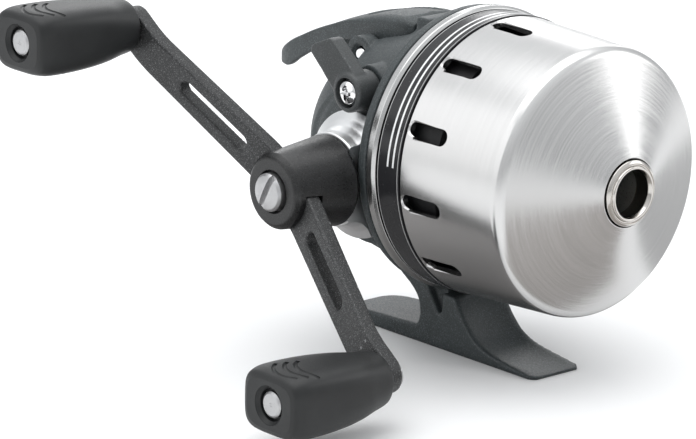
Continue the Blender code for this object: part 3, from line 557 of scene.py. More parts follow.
def cover():
    """The slotted cover, the printed band and the line ring in its nose."""
    inner = 1.2
    shell = lathe("front_cover",
        [(7.5, 38.3, 0.15), (COVER_SHOULDER_R, 28.73, 3.4), (COVER_R, 0.3, 0.2),
         (SKIRT_R, 0.2, 0.1), (SKIRT_R, -6.9, 0.2), (SKIRT_R - 1.4, -6.9, 0.2),
         (SKIRT_R - 1.4, -0.6, 0.2), (COVER_R - inner, 1.4, 0.2),
         (COVER_SHOULDER_R - inner, 27.6, 2.2), (7.5, 36.9, 0.15)], steps=192)
    outline = slot_outline()
    cutters = []
    for i in range(SLOT_COUNT):
        degrees = SLOT_FIRST_DEG - 360.0 * i / SLOT_COUNT
        at = around_spool(COVER_R - 0.1, degrees, sum(SLOT_X) / 2)
        outward = around_spool(1.0, degrees, 0.0)
        cutters.append(slab(f"slot_{i}", outline, -4.0, 0.0, at, outward, X, flare=0.32))
    cut(shell, *cutters)
    show(shell, "cover", COVER, "satin_aluminium", "front_cover", crease=28)
    turned("band_sleeve", [(31.2, -0.1), (31.2, -6.8), (30.0, -6.8), (30.0, -0.1)],
           "cover", BAND, "band_black", steps=192, rounding=0.14)
    turned("nose_ring",
           [(6.55, 39.2, 0.35), (7.2, 38.7, 0.3), (7.2, 36.4, 0.1), (8.6, 35.9, 0.1), (8.6, 35.2, 0.1),
            (5.0, 35.2, 0.2), (5.0, 38.7, 0.6), (5.45, 39.6, 0.3), (5.95, 39.6, 0.3), (6.15, 38.9, 0.15),
            (6.4, 38.9, 0.15)], "cover", NOSE, "polished_metal", steps=128)


# -------- the case

def dome(name, shrink=0.0, front=DOME[0][1], steps=96):
    """The gear case's round shape, smaller all over by shrink, from a chosen front."""
    profile = smooth([(max(r - shrink, 0.0), x + (shrink if r < 20.0 else 0.0)) for r, x in DOME], 4)
    profile = [(0.0, front), (profile[0][0], front)] + profile[1:-1] + [(0.0, profile[-1][1])]
    tilt = math.radians(DOME_TILT_DEG)
    return lathe(name, profile, (0, 0, 0), Vector((math.cos(tilt), 0, math.sin(tilt))), steps)


def foot_and_stem():
    """The stem and the foot, whose front tongue is hollowed along its top and up the stem."""
    rear, front, half = -43.5, 18.7, 7.5
    top = [(front, -44.7), (14.0, -44.1), (8.0, -43.3), (3.6, -42.4), (0.4, -41.0), (-1.9, -39.1),
           (-3.9, -36.8), (-5.4, -34.6), (-6.6, -32.5)]
    back = [(-34.0, -18.0), (-31.0, -25.0), (-29.0, -26.7), (-25.0, -30.0), (-20.6, -32.9),
            (-18.4, -35.4), (-17.8, -38.5), (-18.4, -40.6), (-20.4, -41.4), (-40.4, -42.3),
            (-42.6, -43.1), (rear, -44.4)]
    outline = smooth(back, 4) + [(rear, FOOT_Z), (front, FOOT_Z)] + smooth(top, 4) \
        + [(-11.1, -32.3), (-11.1, -24.0)]
    body = side_view("foot_and_stem", outline, half)
    centre, reach = (rear + front) / 2, (front - rear) / 2
    plan = [(p, q) for p, q in stadium(2 * reach, 2 * half, 24) if p < 0]
    plan = fillet([(reach - 1.7, -half), (reach, -6.2), (reach, 6.2), (reach - 1.7, half)], 1.0,
                  False) + plan
    keep_inside(body, slab("foot_plan", plan, -2.0, 40.0, (centre, 0, FOOT_Z), UP, X))
    return cut(body, hollow_of(smooth(top, 4), 0.85, 6.6))


def hollow_of(path, depth, half):
    """A shallow gutter that follows a path in X and Z, for cutting."""
    rings = []
    row = [Vector((p[0], 0, p[1])) for p in path]
    row = [row[0] * 2 - row[1]] + row
    for i, here in enumerate(row):
        a, b = row[max(i - 1, 0)], row[min(i + 1, len(row) - 1)]
        along = (b - a).normalized()
        normal = Vector((-along.z, 0, along.x))
        if normal.z < 0:
            normal = -normal
        ring = []
        sunk = min(depth, 0.3 * (here.z - FOOT_Z))
        for k in range(17):
            t = -1 + k / 8
            ring.append(here + Vector((0, half * t, 0)) + normal * (-sunk * (1 - t * t) + 0.05))
        ring += [here + Vector((0, half, 0)) + normal * 2.0, here + Vector((0, -half, 0)) + normal * 2.0]
        rings.append(ring)
    return skin("gutter", rings)


CASE_HALF, CASE_ROOF = 21.0, 12.3
DRUM_R, DRUM_CENTRE = 17.8, (-20.5, 0, -3.0)
SCREW_BOSSES_DEG, SCREW_BOSS_R = (30.0, 150.0, 270.0), 23.9


def case_spaces():
    """The two rounded hollows inside the case, for cutting."""
    cavity = dome("cavity", 2.2, -7.0, 48)
    keep_inside(cavity, block("cavity_limits", (-60, -19.3, -60), (-8, 19.3, CASE_ROOF)))
    drum_space = bar("drum_space", DRUM_R - 1.6, -18.9, 18.9, DRUM_CENTRE, LEFT)
    keep_inside(drum_space, block("drum_limits", (-60, -20, -60), (-9, 20, CASE_ROOF - 0.2)))
    return cavity, drum_space


def stem_pockets():
    """The triangular pocket on each side of the stem, for cutting."""
    outline = fillet([(-16.6, -29.4), (-10.2, -30.4), (-10.7, -36.8), (-11.7, -37.3), (-14.2, -33.6)], 0.5)
    return [side_view(f"stem_pocket_{side}", outline, 2.1, side * 7.5) for side in (-1, 1)]


def housing():
    """The die-cast case with its flange, drum sides, stem, foot, lever cheeks and index pad."""
    wide, behind_flange, tilt = 60.0, -12.0, math.radians(DOME_TILT_DEG)
    case = dome("body_housing")
    keep_inside(case, block("case_width", (-wide, -CASE_HALF, -wide), (behind_flange, CASE_HALF, wide)))
    drum_half = CASE_HALF + 1.0
    drum = lathe("drum", [(0, drum_half), (DRUM_R, drum_half, 2.2), (DRUM_R, -drum_half, 2.2),
                 (0, -drum_half)], DRUM_CENTRE, LEFT)
    keep_inside(drum, block("drum_front", (-wide, -wide, -wide), (behind_flange - 0.6, wide, wide)))
    flange = lathe("flange", [(0, -10.6), (25.9, -10.6), (25.9, -3.3), (27.9, -3.3), (27.9, -10.3),
                   (31.5, -10.4), (31.5, -12.4), (28.8, -14.6), (0, -14.6)], steps=160)
    cheeks = bar("cheeks", 4.2, -12.6, 12.6, THUMB_PIVOT, LEFT)
    boss = bar("brake_boss", 5.2, 10.0, 22.15, BRAKE_PIVOT, LEFT, 64)
    pad_outline = fillet([(-21.3, 20.0), (-16.9, 20.0), (-16.9, 28.3, 1.2), (-21.3, 28.3, 1.2)], 0)
    pad = side_view("index_pad", pad_outline, 7.5)
    join(case, drum, flange, cheeks, boss, pad)
    cut(case, *case_spaces(),
        block("lever_channel", (-60, -8.9, 14.8), (-30, 8.9, 40)),
        block("lever_front_channel", (-30.5, -8.9, 20.2), (-21.8, 8.9, 40)),
        block("arm_window", (-43.0, -2.6, 5.0), (-31.0, 2.6, 16.0)))
    join(case, block("rear_web", (-28.6, -2.3, -4.0), (-26.4, 20.0, CASE_ROOF + 0.5)))
    openings = [
        bar("plate_bore", 8.4, -30, 30, CRANK, LEFT, 64),
        bar("thumb_pin_bore", 1.9, -20, 20, THUMB_PIVOT, LEFT),
        bar("thumb_pin_recess", 2.5, -20, -12.1, THUMB_PIVOT, LEFT),
        bar("thumb_pin_recess_left", 2.5, 12.1, 20, THUMB_PIVOT, LEFT),
        bar("brake_bore", 1.9, 12, 30, BRAKE_PIVOT, LEFT),
        bar("brake_pocket", 2.95, 9.6, 16, BRAKE_PIVOT, LEFT),
        block("finger_room", (-24.6, -11.9, 10.0), (-14.6, -9.5, 13.6)),
        bar("pawl_bore", 1.6, 19.0, 20.7, PAWL_PIVOT, LEFT),
        bar("dial_pocket", 9.1, -16.9, -13.1, DIAL, X, 64),
        bar("dial_bore", 2.0, -14, -8, DIAL, X),
        bar("web_bore", 2.0, -31, -24, (0, 0, 0), X),
        block("dial_window", (-17.6, -12.6, 22.0), (-15.9, -9.0, 34.0))]
    for i, degrees in enumerate(SCREW_BOSSES_DEG):
        at = around_spool(SCREW_BOSS_R, degrees, 0)
        join(case, bar(f"screw_boss_{i}", 2.6, -11.4, -3.5, at, X, 24))
        openings.append(bar(f"screw_bore_{i}", 1.4, -9.5, 0.0, at, X, 24))
    cut(case, *openings)
    foot = cut(foot_and_stem(), *case_spaces(), *stem_pockets())
    both = bmesh.new()
    for piece in (case, foot):
        both.from_mesh(piece.data)
    both.to_mesh(case.data)
    both.free()
    bpy.data.objects.remove(foot)
    cast(case, 0.36, 3)
    show(case, "frame", PAINT, "grey_paint", "body_housing", crease=180)
    dome_r, dome_x, taper = 28.2, -16.0, 0.19
    for i, (x, y) in enumerate(((-19.2, -11.2), (-15.1, -10.2))):
        height = math.sqrt((dome_r + taper * (x - dome_x)) ** 2 - y ** 2) + x * math.sin(tilt)
        outward = Vector((0.1, y, height)).normalized()
        mark = slab(f"index_mark_{i}", stadium(2.6, 0.6), -1.2, 0.1, (x, y, height), outward,
                    outward.cross(X))
        show(mark, "frame", WHITE_INK, "grey_paint")


def fixed_rings():
    """The trim ring, the deck and its screws, the side plates, the dust cap and the lever's pin."""
    turned("trim_ring",
           [(31.3, -7.2, 0.3), (31.9, -7.8, 0.5), (31.9, -9.4, 0.5), (31.3, -10.0, 0.3), (28.2, -10.0),
            (28.2, -7.2)], "frame", TRIM, "polished_metal", steps=192, rounding=0.1)
    front, rear, rim = -1.0, -3.0, 7.4
    deck = lathe("deck_plate",
        [(4.2, 12.0), (4.2, front), (26.4, front, 0.8), (26.4, rim), (27.7, rim), (27.7, rear),
         (6.6, rear), (6.6, -3.8), (5.3, -3.8), (5.3, -1.3), (3.0, -1.3), (3.0, 12.0)],
        steps=128, rounding=0.2)
    holes = [bar("shoe_hole", 1.9, -6, 3, DIAL, X, 32),
             bar("carrier_rod_hole", 1.5, -6, 3, (0, 6.5, 6.5), X, 32)]
    for i, degrees in enumerate(SCREW_BOSSES_DEG):
        at = around_spool(SCREW_BOSS_R, degrees, 0)
        holes.append(bar(f"deck_screw_hole_{i}", 1.3, -6, 3, at, X, 32))
        screw = lathe(f"deck_screw_{i + 1}",
            [(0, 0.5), (1.5, 0.5, 0.3), (2.0, 0.1, 0.2), (2.0, -0.7, 0.1), (1.0, -0.7),
             (1.0, -8.8), (0, -8.8)], at, X, 40)
        cross_cut(screw, at + X * 0.5, X, 1.1, 0.25, 0.5)
        show(screw, "frame", STEEL, "steel", f"deck_screw_{i + 1}")
    cut(deck, *holes)
    show(deck, "frame", MOULDING, "black_satin", "deck_plate")
    seat = [(14.2, 22.3), (8.0, 22.3), (8.0, 16.6), (6.2, 16.6), (6.2, 21.0)]
    neck = [(10.4, 31.9, 0.5), (10.5, 29.6, 2.0), (11.2, 27.6, 2.0), (12.4, 26.1, 2.0), (14.2, 24.9, 0.4),
            *seat, (3.1, 21.0), (3.1, 31.9)]
    cap_side = [(10.4, 25.6, 0.6), (14.2, 23.6, 0.6), *seat, (4.6, 21.0), (4.6, 25.6, 0.2)]
    for name, facing, profile in (("left_side_plate", LEFT, neck), ("right_side_plate", RIGHT, cap_side)):
        plate = lathe(name, profile, CRANK, facing, 128, 0.1)
        cut(plate, block("plate_flat", (-14.9, -40, -40), (10, 40, 40)))
        show(plate, "frame", NECK, "polished_metal", name)
    cap = lathe("dust_cap", [(0, 28.4), (7.2, 28.4, 0.5), (8.2, 27.6, 0.4), (8.2, 25.9, 0.1), (4.2, 25.9),
                (4.2, 21.6), (0, 21.6)], CRANK, RIGHT)
    cut(cap, block("cap_slot", (CRANK.x - 6, 27.4, CRANK.z - 0.8), (CRANK.x + 6, 30, CRANK.z + 0.8)))
    show(cap, "frame", LACQUER, "black_satin", "dust_cap")
    turned("thumb_lever_pin",
           [(0, 12.4), (1.2, 12.4, 0.3), (1.5, 12.0, 0.2), (1.5, -12.0, 0.2), (1.2, -12.4, 0.3),
            (0, -12.4)], "frame", POLISHED, "polished_metal", THUMB_PIVOT, LEFT, 48)


def cross_cut(screw, at, facing, reach, half, depth):
    """Cut a cross recess with tapering arms into a screw's head."""
    u, v, d = basis(facing)
    for a, b in ((u, v), (v, u)):
        rings = []
        for h, spread in ((0.3, 1.0), (-depth, 0.45)):
            corners = ((1, 1), (-1, 1), (-1, -1), (1, -1))
            rings.append([Vector(at) + a * (reach * spread * i) + b * (half * j) + d * h
                          for i, j in corners])
        cut(screw, skin("cross_arm", rings))


# -------- the crank

def arm_ring(u):
    """A rounded oblong across the arm at a distance along it, leaning with the strip's slope."""
    lift, tilt, half_width = arm_shape(u)
    centre = CRANK + ALONG * u + OUTWARD * (ARM_ROOT_Y + lift)
    normal = OUTWARD * math.cos(tilt) - ALONG * math.sin(tilt)
    half_width = max(half_width, 0.12)
    corner = min(0.45, half_width * 0.9)
    ring = []
    for start, sx, sy in ((0, 1, 1), (90, -1, 1), (180, -1, -1), (270, 1, -1)):
        for p, q in arc((sx * (half_width - corner), sy * (ARM_HALF - corner)), corner,
                        start, start + 90, 5):
            ring.append(centre + ACROSS * p + normal * q)
    return ring


def arm_shape(u):
    """The strip's lift, slope and half width at a distance from the hub."""
    a = abs(u)
    slope = ARM_RISE / (SLOPE_END - FLAT_END)

    def ramp(d):
        """0 before a bend, rising as a parabola through it and straight after it."""
        if d <= -BEND:
            return 0.0, 0.0
        if d >= BEND:
            return d, 1.0
        return (d + BEND) ** 2 / (4 * BEND), (d + BEND) / (2 * BEND)
    first, first_rate = ramp(a - FLAT_END)
    second, second_rate = ramp(a - SLOPE_END)
    lift = slope * (first - second)
    rate = slope * (first_rate - second_rate) * (1 if u > 0 else -1)
    root_half, taper_start, taper = 4.9, 8.0, 34.0
    width = root_half - (root_half - TAB_R) * min(max((a - taper_start) / taper, 0.0), 1.0)
    if a > TAB_CENTRE:
        width = math.sqrt(max(TAB_R ** 2 - (a - TAB_CENTRE) ** 2, 0.0))
    return lift, math.atan(rate), width


def handle_strip():
    """The bent strip with a long slot and a pin hole on each side, its edges lightly rounded."""
    tip = TAB_CENTRE + TAB_R
    reach = [tip * math.sin(math.radians(90 * i / 26)) for i in range(27)]
    stations = [-u for u in reversed(reach[1:])] + reach
    stations = sorted(set(round(u, 4) for u in stations + [i * 1.2 for i in range(-42, 43)]))
    strip = skin("handle_arm", [arm_ring(u) for u in stations])
    slot = stadium(20.4, 3.6, 16)
    at = CRANK + OUTWARD * ARM_ROOT_Y
    cutters = [bar("arm_screw_hole", 1.8, -10, 20, at, OUTWARD)]
    lift, slope, _ = arm_shape(SLOT_AT)
    for side in (-1, 1):
        leaning = (OUTWARD * math.cos(slope) - ALONG * side * math.sin(slope)).normalized()
        lean_along = leaning.cross(ACROSS).normalized() * -1
        centre = at + ALONG * side * SLOT_AT + OUTWARD * lift
        cutters.append(slab("arm_slot", slot, -6.0, ARM_HALF, centre, leaning, lean_along, flare=0.3))
        cutters.append(bar("arm_pin_hole", 2.0, -10, 20, at + ALONG * side * ARM_LENGTH, OUTWARD))
    cut(strip, *cutters)
    cast(strip, 0.26, 2)
    show(strip, "crank", STRIP_PAINT, "grey_paint", "handle_arm", crease=180)


def handle():
    """The hub, the strip through it and the slotted screw in its recess."""
    hub = lathe("handle_hub",
        [(4.7, 48.6, 0.25), (7.4, 48.6, 1.1), (8.4, 47.4, 0.8), (9.0, 42.0, 4.0), (9.9, 34.2, 3.0),
         (10.1, 32.9, 0.6), (9.8, 32.3, 0.2), (2.9, 32.3, 0.1), (2.9, 42.3), (1.7, 42.3),
         (1.7, 46.9), (4.7, 46.9)], CRANK, LEFT, 128)
    space = [(-30, -5.2), (30, -5.2), (30, 5.2), (-30, 5.2)]
    cut(hub, slab("strip_space", space, -2.15, 2.15, CRANK + OUTWARD * ARM_ROOT_Y, OUTWARD, ALONG))
    show(hub, "crank", LACQUER, "black_satin", "handle_hub")
    handle_strip()
    screw = lathe("handle_screw", [(0, 50.5), (2.2, 50.42, 1.0), (3.7, 50.1, 0.5), (4.2, 49.5, 0.3),
                  (4.2, 47.2, 0.1), (1.35, 47.2), (1.35, 35.2), (0, 35.2)], CRANK, LEFT)
    slot_angle = math.radians(63)
    slot_along = Vector((math.cos(slot_angle), 0, math.sin(slot_angle)))
    cut(screw, slab("screw_slot", [(-6, -0.75), (6, -0.75), (6, 0.75), (-6, 0.75)], -0.9, 2.0,
                    CRANK + OUTWARD * 50.2, OUTWARD, slot_along))
    show(screw, "crank", SATIN, "polished_metal", "handle_screw")


KNOB_SECTIONS = [
    (0.0, 5.0, 4.9, 2.0), (0.4, 5.6, 5.5, 2.1), (1.4, 6.1, 5.9, 2.2), (5.0, 6.9, 6.1, 2.7),
    (9.0, 7.8, 6.5, 3.3), (14.0, 8.5, 6.8, 3.9), (20.0, 8.8, 7.0, 4.3),
    (25.5, 8.75, 6.95, 4.5), (27.9, 8.4, 6.6, 4.4), (29.1, 7.9, 6.1, 4.2),
    (KNOB_LENGTH, 6.8, 5.1, 3.8)]


def knob_rings(at):
    """A knob's sections from the arm outwards, from a round neck to a flat oblong end."""
    around, rings = 144, []
    for s, half_p, half_q, power in smooth(KNOB_SECTIONS, 8):
        ring = []
        for i in range(around):
            c, d = math.cos(2 * math.pi * i / around), math.sin(2 * math.pi * i / around)
            size = (abs(c) ** power + abs(d) ** power) ** (-1 / power)
            ring.append(at + X * half_p * c * size + OUTWARD * s + UP * half_q * d * size)
        rings.append(ring)
    return rings


def knob_groove(at, number, face):
    """One curved groove across a knob's flat face: a round bar bent along the face, for cutting."""
    bend, radius, rings = 6.5, 0.5, []
    _, half_p, half_q, power = KNOB_SECTIONS[6]
    for k in range(25):
        turn = math.radians(-65 + 100 * k / 24)
        inset = 1.6 + 2.3 * number + bend * (1 - math.cos(turn))
        p = 1.9 + 0.8 * number + bend * math.sin(turn)
        q = half_q * (1 - abs(p / half_p) ** power) ** (1 / power) + 0.12
        if inset < 4.0:
            q -= 0.05 * (4.0 - inset) ** 2
        middle_at = at + X * p + OUTWARD * (KNOB_LENGTH - inset) + UP * q * face
        along = (X * math.cos(turn) - OUTWARD * math.sin(turn)).normalized()
        side = along.cross(UP)
        rings.append([middle_at + side * radius * math.cos(a) + UP * radius * math.sin(a)
                      for a in (2 * math.pi * i / 12 for i in range(12))])
    return skin("knob_groove", rings)


def knobs():
    """Two soft paddles with three curved grooves on each flat face, and their pins."""
    for name, body in (("upper", "upper_knob"), ("lower", "lower_knob")):
        at = Vector((KNOBS[name].x, -KNOB_START, KNOBS[name].z))
        knob = skin(f"knob_{name}", knob_rings(at))
        floor = KNOB_LENGTH - 2.0
        recess = lathe("knob_recess", [(0, 34), (4.9, 34), (4.2, KNOB_LENGTH - 0.1, 0.4),
                       (3.5, KNOB_LENGTH - 0.9), (3.5, floor), (0, floor)], at, OUTWARD, 64)
        cut(knob, bar("knob_bore", 2.1, -1, 40, at, OUTWARD), recess,
            *[knob_groove(at, number, face) for number in range(3) for face in (1, -1)])
        show(knob, body, SOFT, "soft_black", f"knob_{name}", crease=40)
        head, under = KNOB_LENGTH - 0.6, -4.05
        turned(f"knob_pin_{name}",
               [(0, head - 0.15), (0.25, head - 0.15), (0.45, head), (2.3, head, 0.3),
                (2.85, head - 0.4, 0.2), (2.85, head - 1.2), (1.8, head - 1.2), (1.8, under),
                (3.1, under, 0.1), (3.0, under - 0.7, 0.4), (2.0, under - 1.3, 0.4), (0, under - 1.5)],
               "crank", SATIN, "polished_metal", at, OUTWARD, 64)


# -------- the spool axis

def spool_axis():
    """What shows through the cover's slots and when the cover is off."""
    rotor = lathe("rotor_cup",
        [(4.2, 21.6, 0.2), (21.0, 20.9, 2.0), (24.4, 19.2, 2.4), (25.6, 15.8, 1.6),
         (25.6, 8.2, 0.2), (24.4, 8.2, 0.2), (24.4, 15.4, 1.2), (23.2, 18.2, 1.5),
         (20.4, 19.5, 1.5), (4.2, 20.2), (4.2, 16.3), (1.75, 16.3), (1.75, 21.6, 0.1)], steps=128)
    cut(rotor, bar("pickup_hole", 1.2, 20.0, 30.0, (17.0, 0, 0), UP, 32))
    show(rotor, "rotor", ROTOR, "satin_aluminium", "rotor_cup")
    turned("main_shaft", [(0, 26.4), (1.2, 26.4, 0.2), (1.5, 26.0, 0.2), (1.5, -41.0), (0, -41.0)],
           "rotor", STEEL, "steel", steps=48)
    hexagon = [(3.5 * math.cos(math.radians(60 * i)), 3.5 * math.sin(math.radians(60 * i)))
               for i in range(6)]
    nut = slab("rotor_nut", hexagon, -1.4, 1.4, (23.4, 0, 0), X, (0, 1, 0))
    cut(nut, bar("nut_bore", 1.75, 20.0, 27.0, (0, 0, 0), X, 32))
    show(chamfer(nut, 0.18), "rotor", BRASS, "brass", "rotor_nut")
    turned("pickup_pin",
           [(0, 27.3), (0.5, 27.3, 0.2), (0.9, 26.9, 0.2), (0.9, 20.9), (1.4, 20.9, 0.1), (1.4, 19.9, 0.1),
            (0, 19.9)], "pickup", STEEL, "steel", (17.0, 0, 0), UP, 40)
    turned("spool",
           [(5.95, 13.0, 0.1), (21.0, 13.0, 0.2), (21.5, 12.4, 0.3), (20.8, 11.9, 0.2), (10.5, 11.4, 1.0),
            (10.5, 3.2, 1.0), (23.0, 2.6, 0.2), (23.6, 2.0, 0.2), (23.2, 1.5, 0.2), (5.95, 1.5, 0.1)],
           "spool_drum", SPOOL, "spool_grey", steps=128)


# -------- the levers

THUMB_STATIONS = [
    (-68.2, 12.6, 11.0, 9.9, 5.0), (-67.0, 13.9, 11.6, 9.3, 6.6),
    (-63.5, 15.8, 14.0, 9.2, 7.8), (-59.0, 17.8, 16.6, 12.0, 8.0),
    (-54.6, 19.7, 18.9, 14.5, 8.0), (-49.0, 21.8, 21.2, 17.2, 8.0),
    (-44.0, 23.9, 22.9, 19.0, 8.0), (-38.0, 26.0, 23.9, 19.4, 8.0),
    (-33.0, 27.3, 24.5, 19.8, 8.0), (-28.0, 27.9, 25.3, 21.0, 8.0),
    (-24.6, 27.9, 25.8, 22.0, 7.8), (-22.4, 26.9, 25.5, 23.4, 7.0)]
CROWN_POWER = 0.42


def crown_row(x, middle_z, edge_z, half):
    """The lever's top line across one station, from one edge over the crown to the other."""
    row, count = [], 25
    for i in range(count):
        t = -math.cos(math.pi * i / (count - 1))
        row.append((x, half * t, edge_z + (middle_z - edge_z) * (1 - t * t) ** CROWN_POWER))
    return row


def crown(x, middle_z, edge_z, bottom, half, wall):
    """One arched section of the thumb lever: over the crown and back under it."""
    inner_half = max(half - wall, 0.8)
    top = max(middle_z - wall, bottom + 0.4)
    low = max(min(edge_z - wall * 0.6, top - 0.2), bottom + 0.2)
    outer = [(x, -half, bottom)] + crown_row(x, middle_z, edge_z, half) + [(x, half, bottom)]
    inner = [(x, -inner_half, bottom)] + crown_row(x, top, low, inner_half) + [(x, inner_half, bottom)]
    return outer + inner[::-1]


def thumb_panel():
    """The shallow oblong sunk into the lever's front top, for cutting."""
    start, end, half, depth, corner = -41.0, -24.6, 5.6, 0.55, 3.0
    rings = []
    for x, middle_z, edge_z, _, wide in smooth(THUMB_STATIONS, 16):
        if not start < x < end:
            continue
        into = min(x - start, end - x)
        w = half - (corner - math.sqrt(corner ** 2 - (corner - into) ** 2) if into < corner else 0)
        ring = []
        for i in range(21):
            y = w * (i / 10 - 1)
            z = edge_z + (middle_z - edge_z) * (1 - (y / wide) ** 2) ** CROWN_POWER
            ring.append((x, y, z - depth))
        rings.append(ring + [(x, w, middle_z + 2), (x, -w, middle_z + 2)])
    return skin("thumb_panel", rings)


def thumb_lever():
    """The arched lever over the case, with a sunk panel on its front and lugs round its pin."""
    lever = skin("thumb_lever", [crown(*row, 1.5) for row in smooth(THUMB_STATIONS, 5)])
    px, _, pz = THUMB_PIVOT
    for side in (-1, 1):
        low, high = sorted((side * 5.8, side * 7.7))
        join(lever, bar("lug", 2.8, low, high, THUMB_PIVOT, RIGHT),
             block("lug_web", (px - 2.8, low, pz), (px + 2.8, high, pz + 5.6)))
    cut(lever, bar("lug_bore", 1.9, -20, 20, THUMB_PIVOT, LEFT), thumb_panel())
    cast(lever, 0.27, 3)
    show(lever, "thumb", PAINT, "grey_paint", "thumb_lever", crease=180)


def anti_reverse():
    """The dark grey lever on its boss and its cross-headed screw."""
    at = BRAKE_PIVOT
    lever = lathe("anti_reverse_lever",
        [(0, 29.0), (4.1, 29.0, 0.5), (4.4, 28.5, 0.3), (4.4, 22.5, 0.1), (0, 22.5)], at, LEFT)
    blade = [(-23.4, 12.4), (-25.6, 14.9, 3.0), (-28.8, 18.0, 3.0), (-32.4, 21.2, 0.8), (-32.1, 22.7, 0.5),
             (-31.1, 23.3, 0.8), (-26.4, 25.3, 0.8), (-25.2, 25.0, 0.8), (-21.6, 22.0, 4.0),
             (-17.3, 18.2, 1.0), (-19.2, 16.8), (-21.7, 14.8)]
    join(lever, side_view("brake_blade", fillet(blade, 0.4), 1.7, -26.6))
    cast(lever, 0.22, 3)
    cut(lever, bar("screw_recess", 3.35, 26.4, 32.0, at, LEFT),
        bar("screw_bore", 1.8, 20.0, 28.0, at, LEFT))
    show(lever, "anti_reverse", BLADE_PAINT, "black_satin", "anti_reverse_lever", crease=50)
    screw = lathe("anti_reverse_screw",
        [(0, 29.4), (1.4, 29.3, 0.8), (2.5, 28.8, 0.8), (3.0, 28.0, 0.4), (3.0, 26.7, 0.1),
         (1.5, 26.7), (1.5, 10.0), (0, 10.0)], at, LEFT)
    cross_cut(screw, at + LEFT * 29.2, LEFT, 1.9, 0.38, 1.2)
    show(screw, "anti_reverse", POLISHED, "polished_metal", "anti_reverse_screw")


def return_spring():
    """The coil round the main shaft, at one fixed length; on the reel the shaft's collar shortens it as
    the thumb lever is pressed.
    """
    turns, per_turn, around, coil_r, wire_r, rear, front = 3, 40, 12, 2.2, 0.35, -38.5, -29.0
    rings, count = [], turns * per_turn
    for k in range(count + 1):
        angle = 2 * math.pi * k / per_turn
        outward = Vector((0, math.cos(angle), math.sin(angle)))
        centre = outward * coil_r + X * (rear + (front - rear) * k / count)
        rings.append([centre + (outward * math.cos(turn) + X * math.sin(turn)) * wire_r
                      for turn in (2 * math.pi * i / around for i in range(around))])
    coil = show(skin("return_spring", rings), "frame", STEEL, "steel", "shaft_spring")
    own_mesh(coil)


# -------- what the CAD's own pieces are made of

KEPT = [
    (STEEL, ["left_shaft_bearing", "right_shaft_bearing", "pinion_bearing", "pawl_pin", "drive_shaft",
             "ratchet_wheel", "shaft_clip", "shaft_collar", "spool_clip", "anti_reverse_finger",
             "anti_reverse_pawl", "drag_stem", "thumb_lever_arm"]),
    (BRASS, ["drive_gear", "shaft_spacer", "pinion_gear", "drag_washer", "drag_shoe"]),
    (MOULDING, ["spool_carrier", "drag_dial"])]


def finish_kept_nodes():
    """Give the inner CAD pieces their metals, and smooth their round faces."""
    for look, names in KEPT:
        for name in names:
            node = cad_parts[name]
            node.data.materials.clear()
            node.data.materials.append(look)
            node.data.shade_smooth()
            node.data.set_sharp_from_angle(angle=math.radians(35))


# -------- the studio

AZIMUTH, ELEVATION, ROLL = (math.radians(a) for a in (48.12, 15.68, 1.2255))
CAMERA_DISTANCE, CAMERA_RIGHT, CAMERA_UP = (k * COVER_R for k in (28.09, -1.0971, -0.4453))


def view_axes():
    """The camera's right, up and backward unit vectors."""
    right = Vector((math.cos(AZIMUTH), math.sin(AZIMUTH), 0))
    back = Vector((math.sin(AZIMUTH) * math.cos(ELEVATION), -math.cos(AZIMUTH) * math.cos(ELEVATION),
                   math.sin(ELEVATION)))
    up = back.cross(right)
    across, along = math.cos(ROLL), math.sin(ROLL)
    return right * across + up * along, up * across - right * along, back


def camera():
    """A long lens on the handle side, a little above the reel and in front of it."""
    right, up, back = view_axes()
    data = bpy.data.cameras.new("camera")
    data.sensor_width = 36.0
    data.lens = 206.9
    data.clip_start, data.clip_end = 0.05, 20.0
    obj = bpy.data.objects.new("camera", data)
    place = (ORIGIN + back * CAMERA_DISTANCE + right * CAMERA_RIGHT + up * CAMERA_UP) * MM
    obj.matrix_world = Matrix.Translation(place) @ Matrix((right, up, back)).transposed().to_4x4()
    bpy.context.scene.collection.objects.link(obj)
    bpy.context.scene.camera = obj


def soft_light(name, offset, width, height, brightness):
    """A rectangular soft light at an offset in metres from the reel, turned to face it."""
    data = bpy.data.lights.new(name, "AREA")
    data.shape = "RECTANGLE"
    data.size, data.size_y = width, height
    data.energy = brightness * math.pi * width * height
    obj = bpy.data.objects.new(name, data)
    obj.location = ORIGIN * MM + Vector(offset)
    obj.rotation_euler = Vector(offset).to_track_quat("Z", "Y").to_euler()
    bpy.context.scene.collection.objects.link(obj)


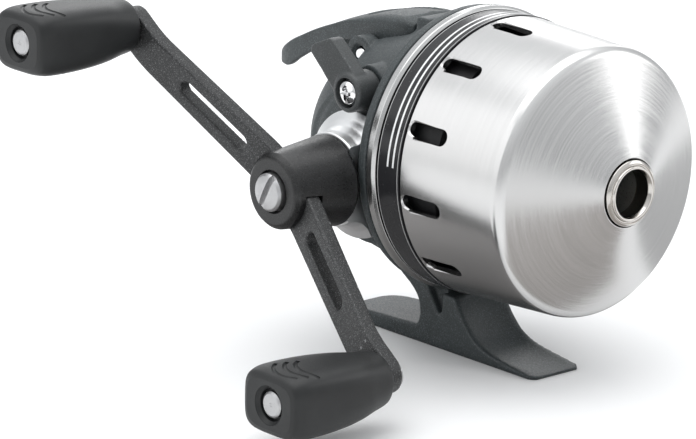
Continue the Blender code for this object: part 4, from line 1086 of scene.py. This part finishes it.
def reflector(name, low, high, colour):
    """A matt card just over the floor that only shows in the metal."""
    lift, thick = 0.3, 0.2
    card = block(name, (*low, FOOT_Z + lift), (*high, FOOT_Z + lift + thick))
    card.data.materials.append(Look(name, colour, 0.9).material)
    card.visible_camera = card.visible_diffuse = card.visible_shadow = False


def studio():
    """A pale floor, a sky that brightens upwards, soft lights, and cards for the cover to reflect."""
    floor_r = 6000
    floor = lathe("floor", [(0, 0), (floor_r, 0), (floor_r, -5), (0, -5)], (0, 0, FOOT_Z - 0.05), UP, 64)
    floor.data.materials.append(floor_look())
    reflector("card_under", (-90, -80), (20, 40), (0.30, 0.29, 0.285))
    reflector("card_front", (40, -46), (170, 30), (0.38, 0.36, 0.345))
    reflector("card_far", (-300, 55), (60, 300), (0.40, 0.40, 0.40))
    world = bpy.data.worlds.new("studio")
    bpy.context.scene.world = world
    world.use_nodes = True
    nodes, links = world.node_tree.nodes, world.node_tree.links
    parts = nodes.new("ShaderNodeSeparateXYZ")
    links.new(nodes.new("ShaderNodeTexCoord").outputs["Generated"], parts.inputs[0])
    rise = nodes.new("ShaderNodeMapRange")
    horizon, top, dim, bright = 0.0, 0.8, 0.54, 1.02
    for socket, number in zip(rise.inputs[1:5], (horizon, top, dim, bright)):
        socket.default_value = number
    links.new(parts.outputs[2], rise.inputs[0])
    links.new(rise.outputs[0], nodes["Background"].inputs["Strength"])
    nodes["Background"].inputs["Color"].default_value = (0.96, 0.98, 1.0, 1.0)
    soft_light("overhead", (-0.15, 0.0, 1.0), 1.3, 1.1, 1.4)
    soft_light("handle_side", (-0.45, -1.0, 0.5), 1.1, 1.0, 0.68)
    soft_light("far_side", (0.45, 0.82, 0.45), 0.55, 0.5, 1.8)
    soft_light("behind", (-0.9, 0.8, 0.42), 0.8, 0.4, 2.0)
    bpy.context.scene.view_settings.view_transform = "Standard"


camera()
studio()
cover()
housing()
fixed_rings()
handle()
knobs()
spool_axis()
thumb_lever()
anti_reverse()
return_spring()
finish_kept_nodes()
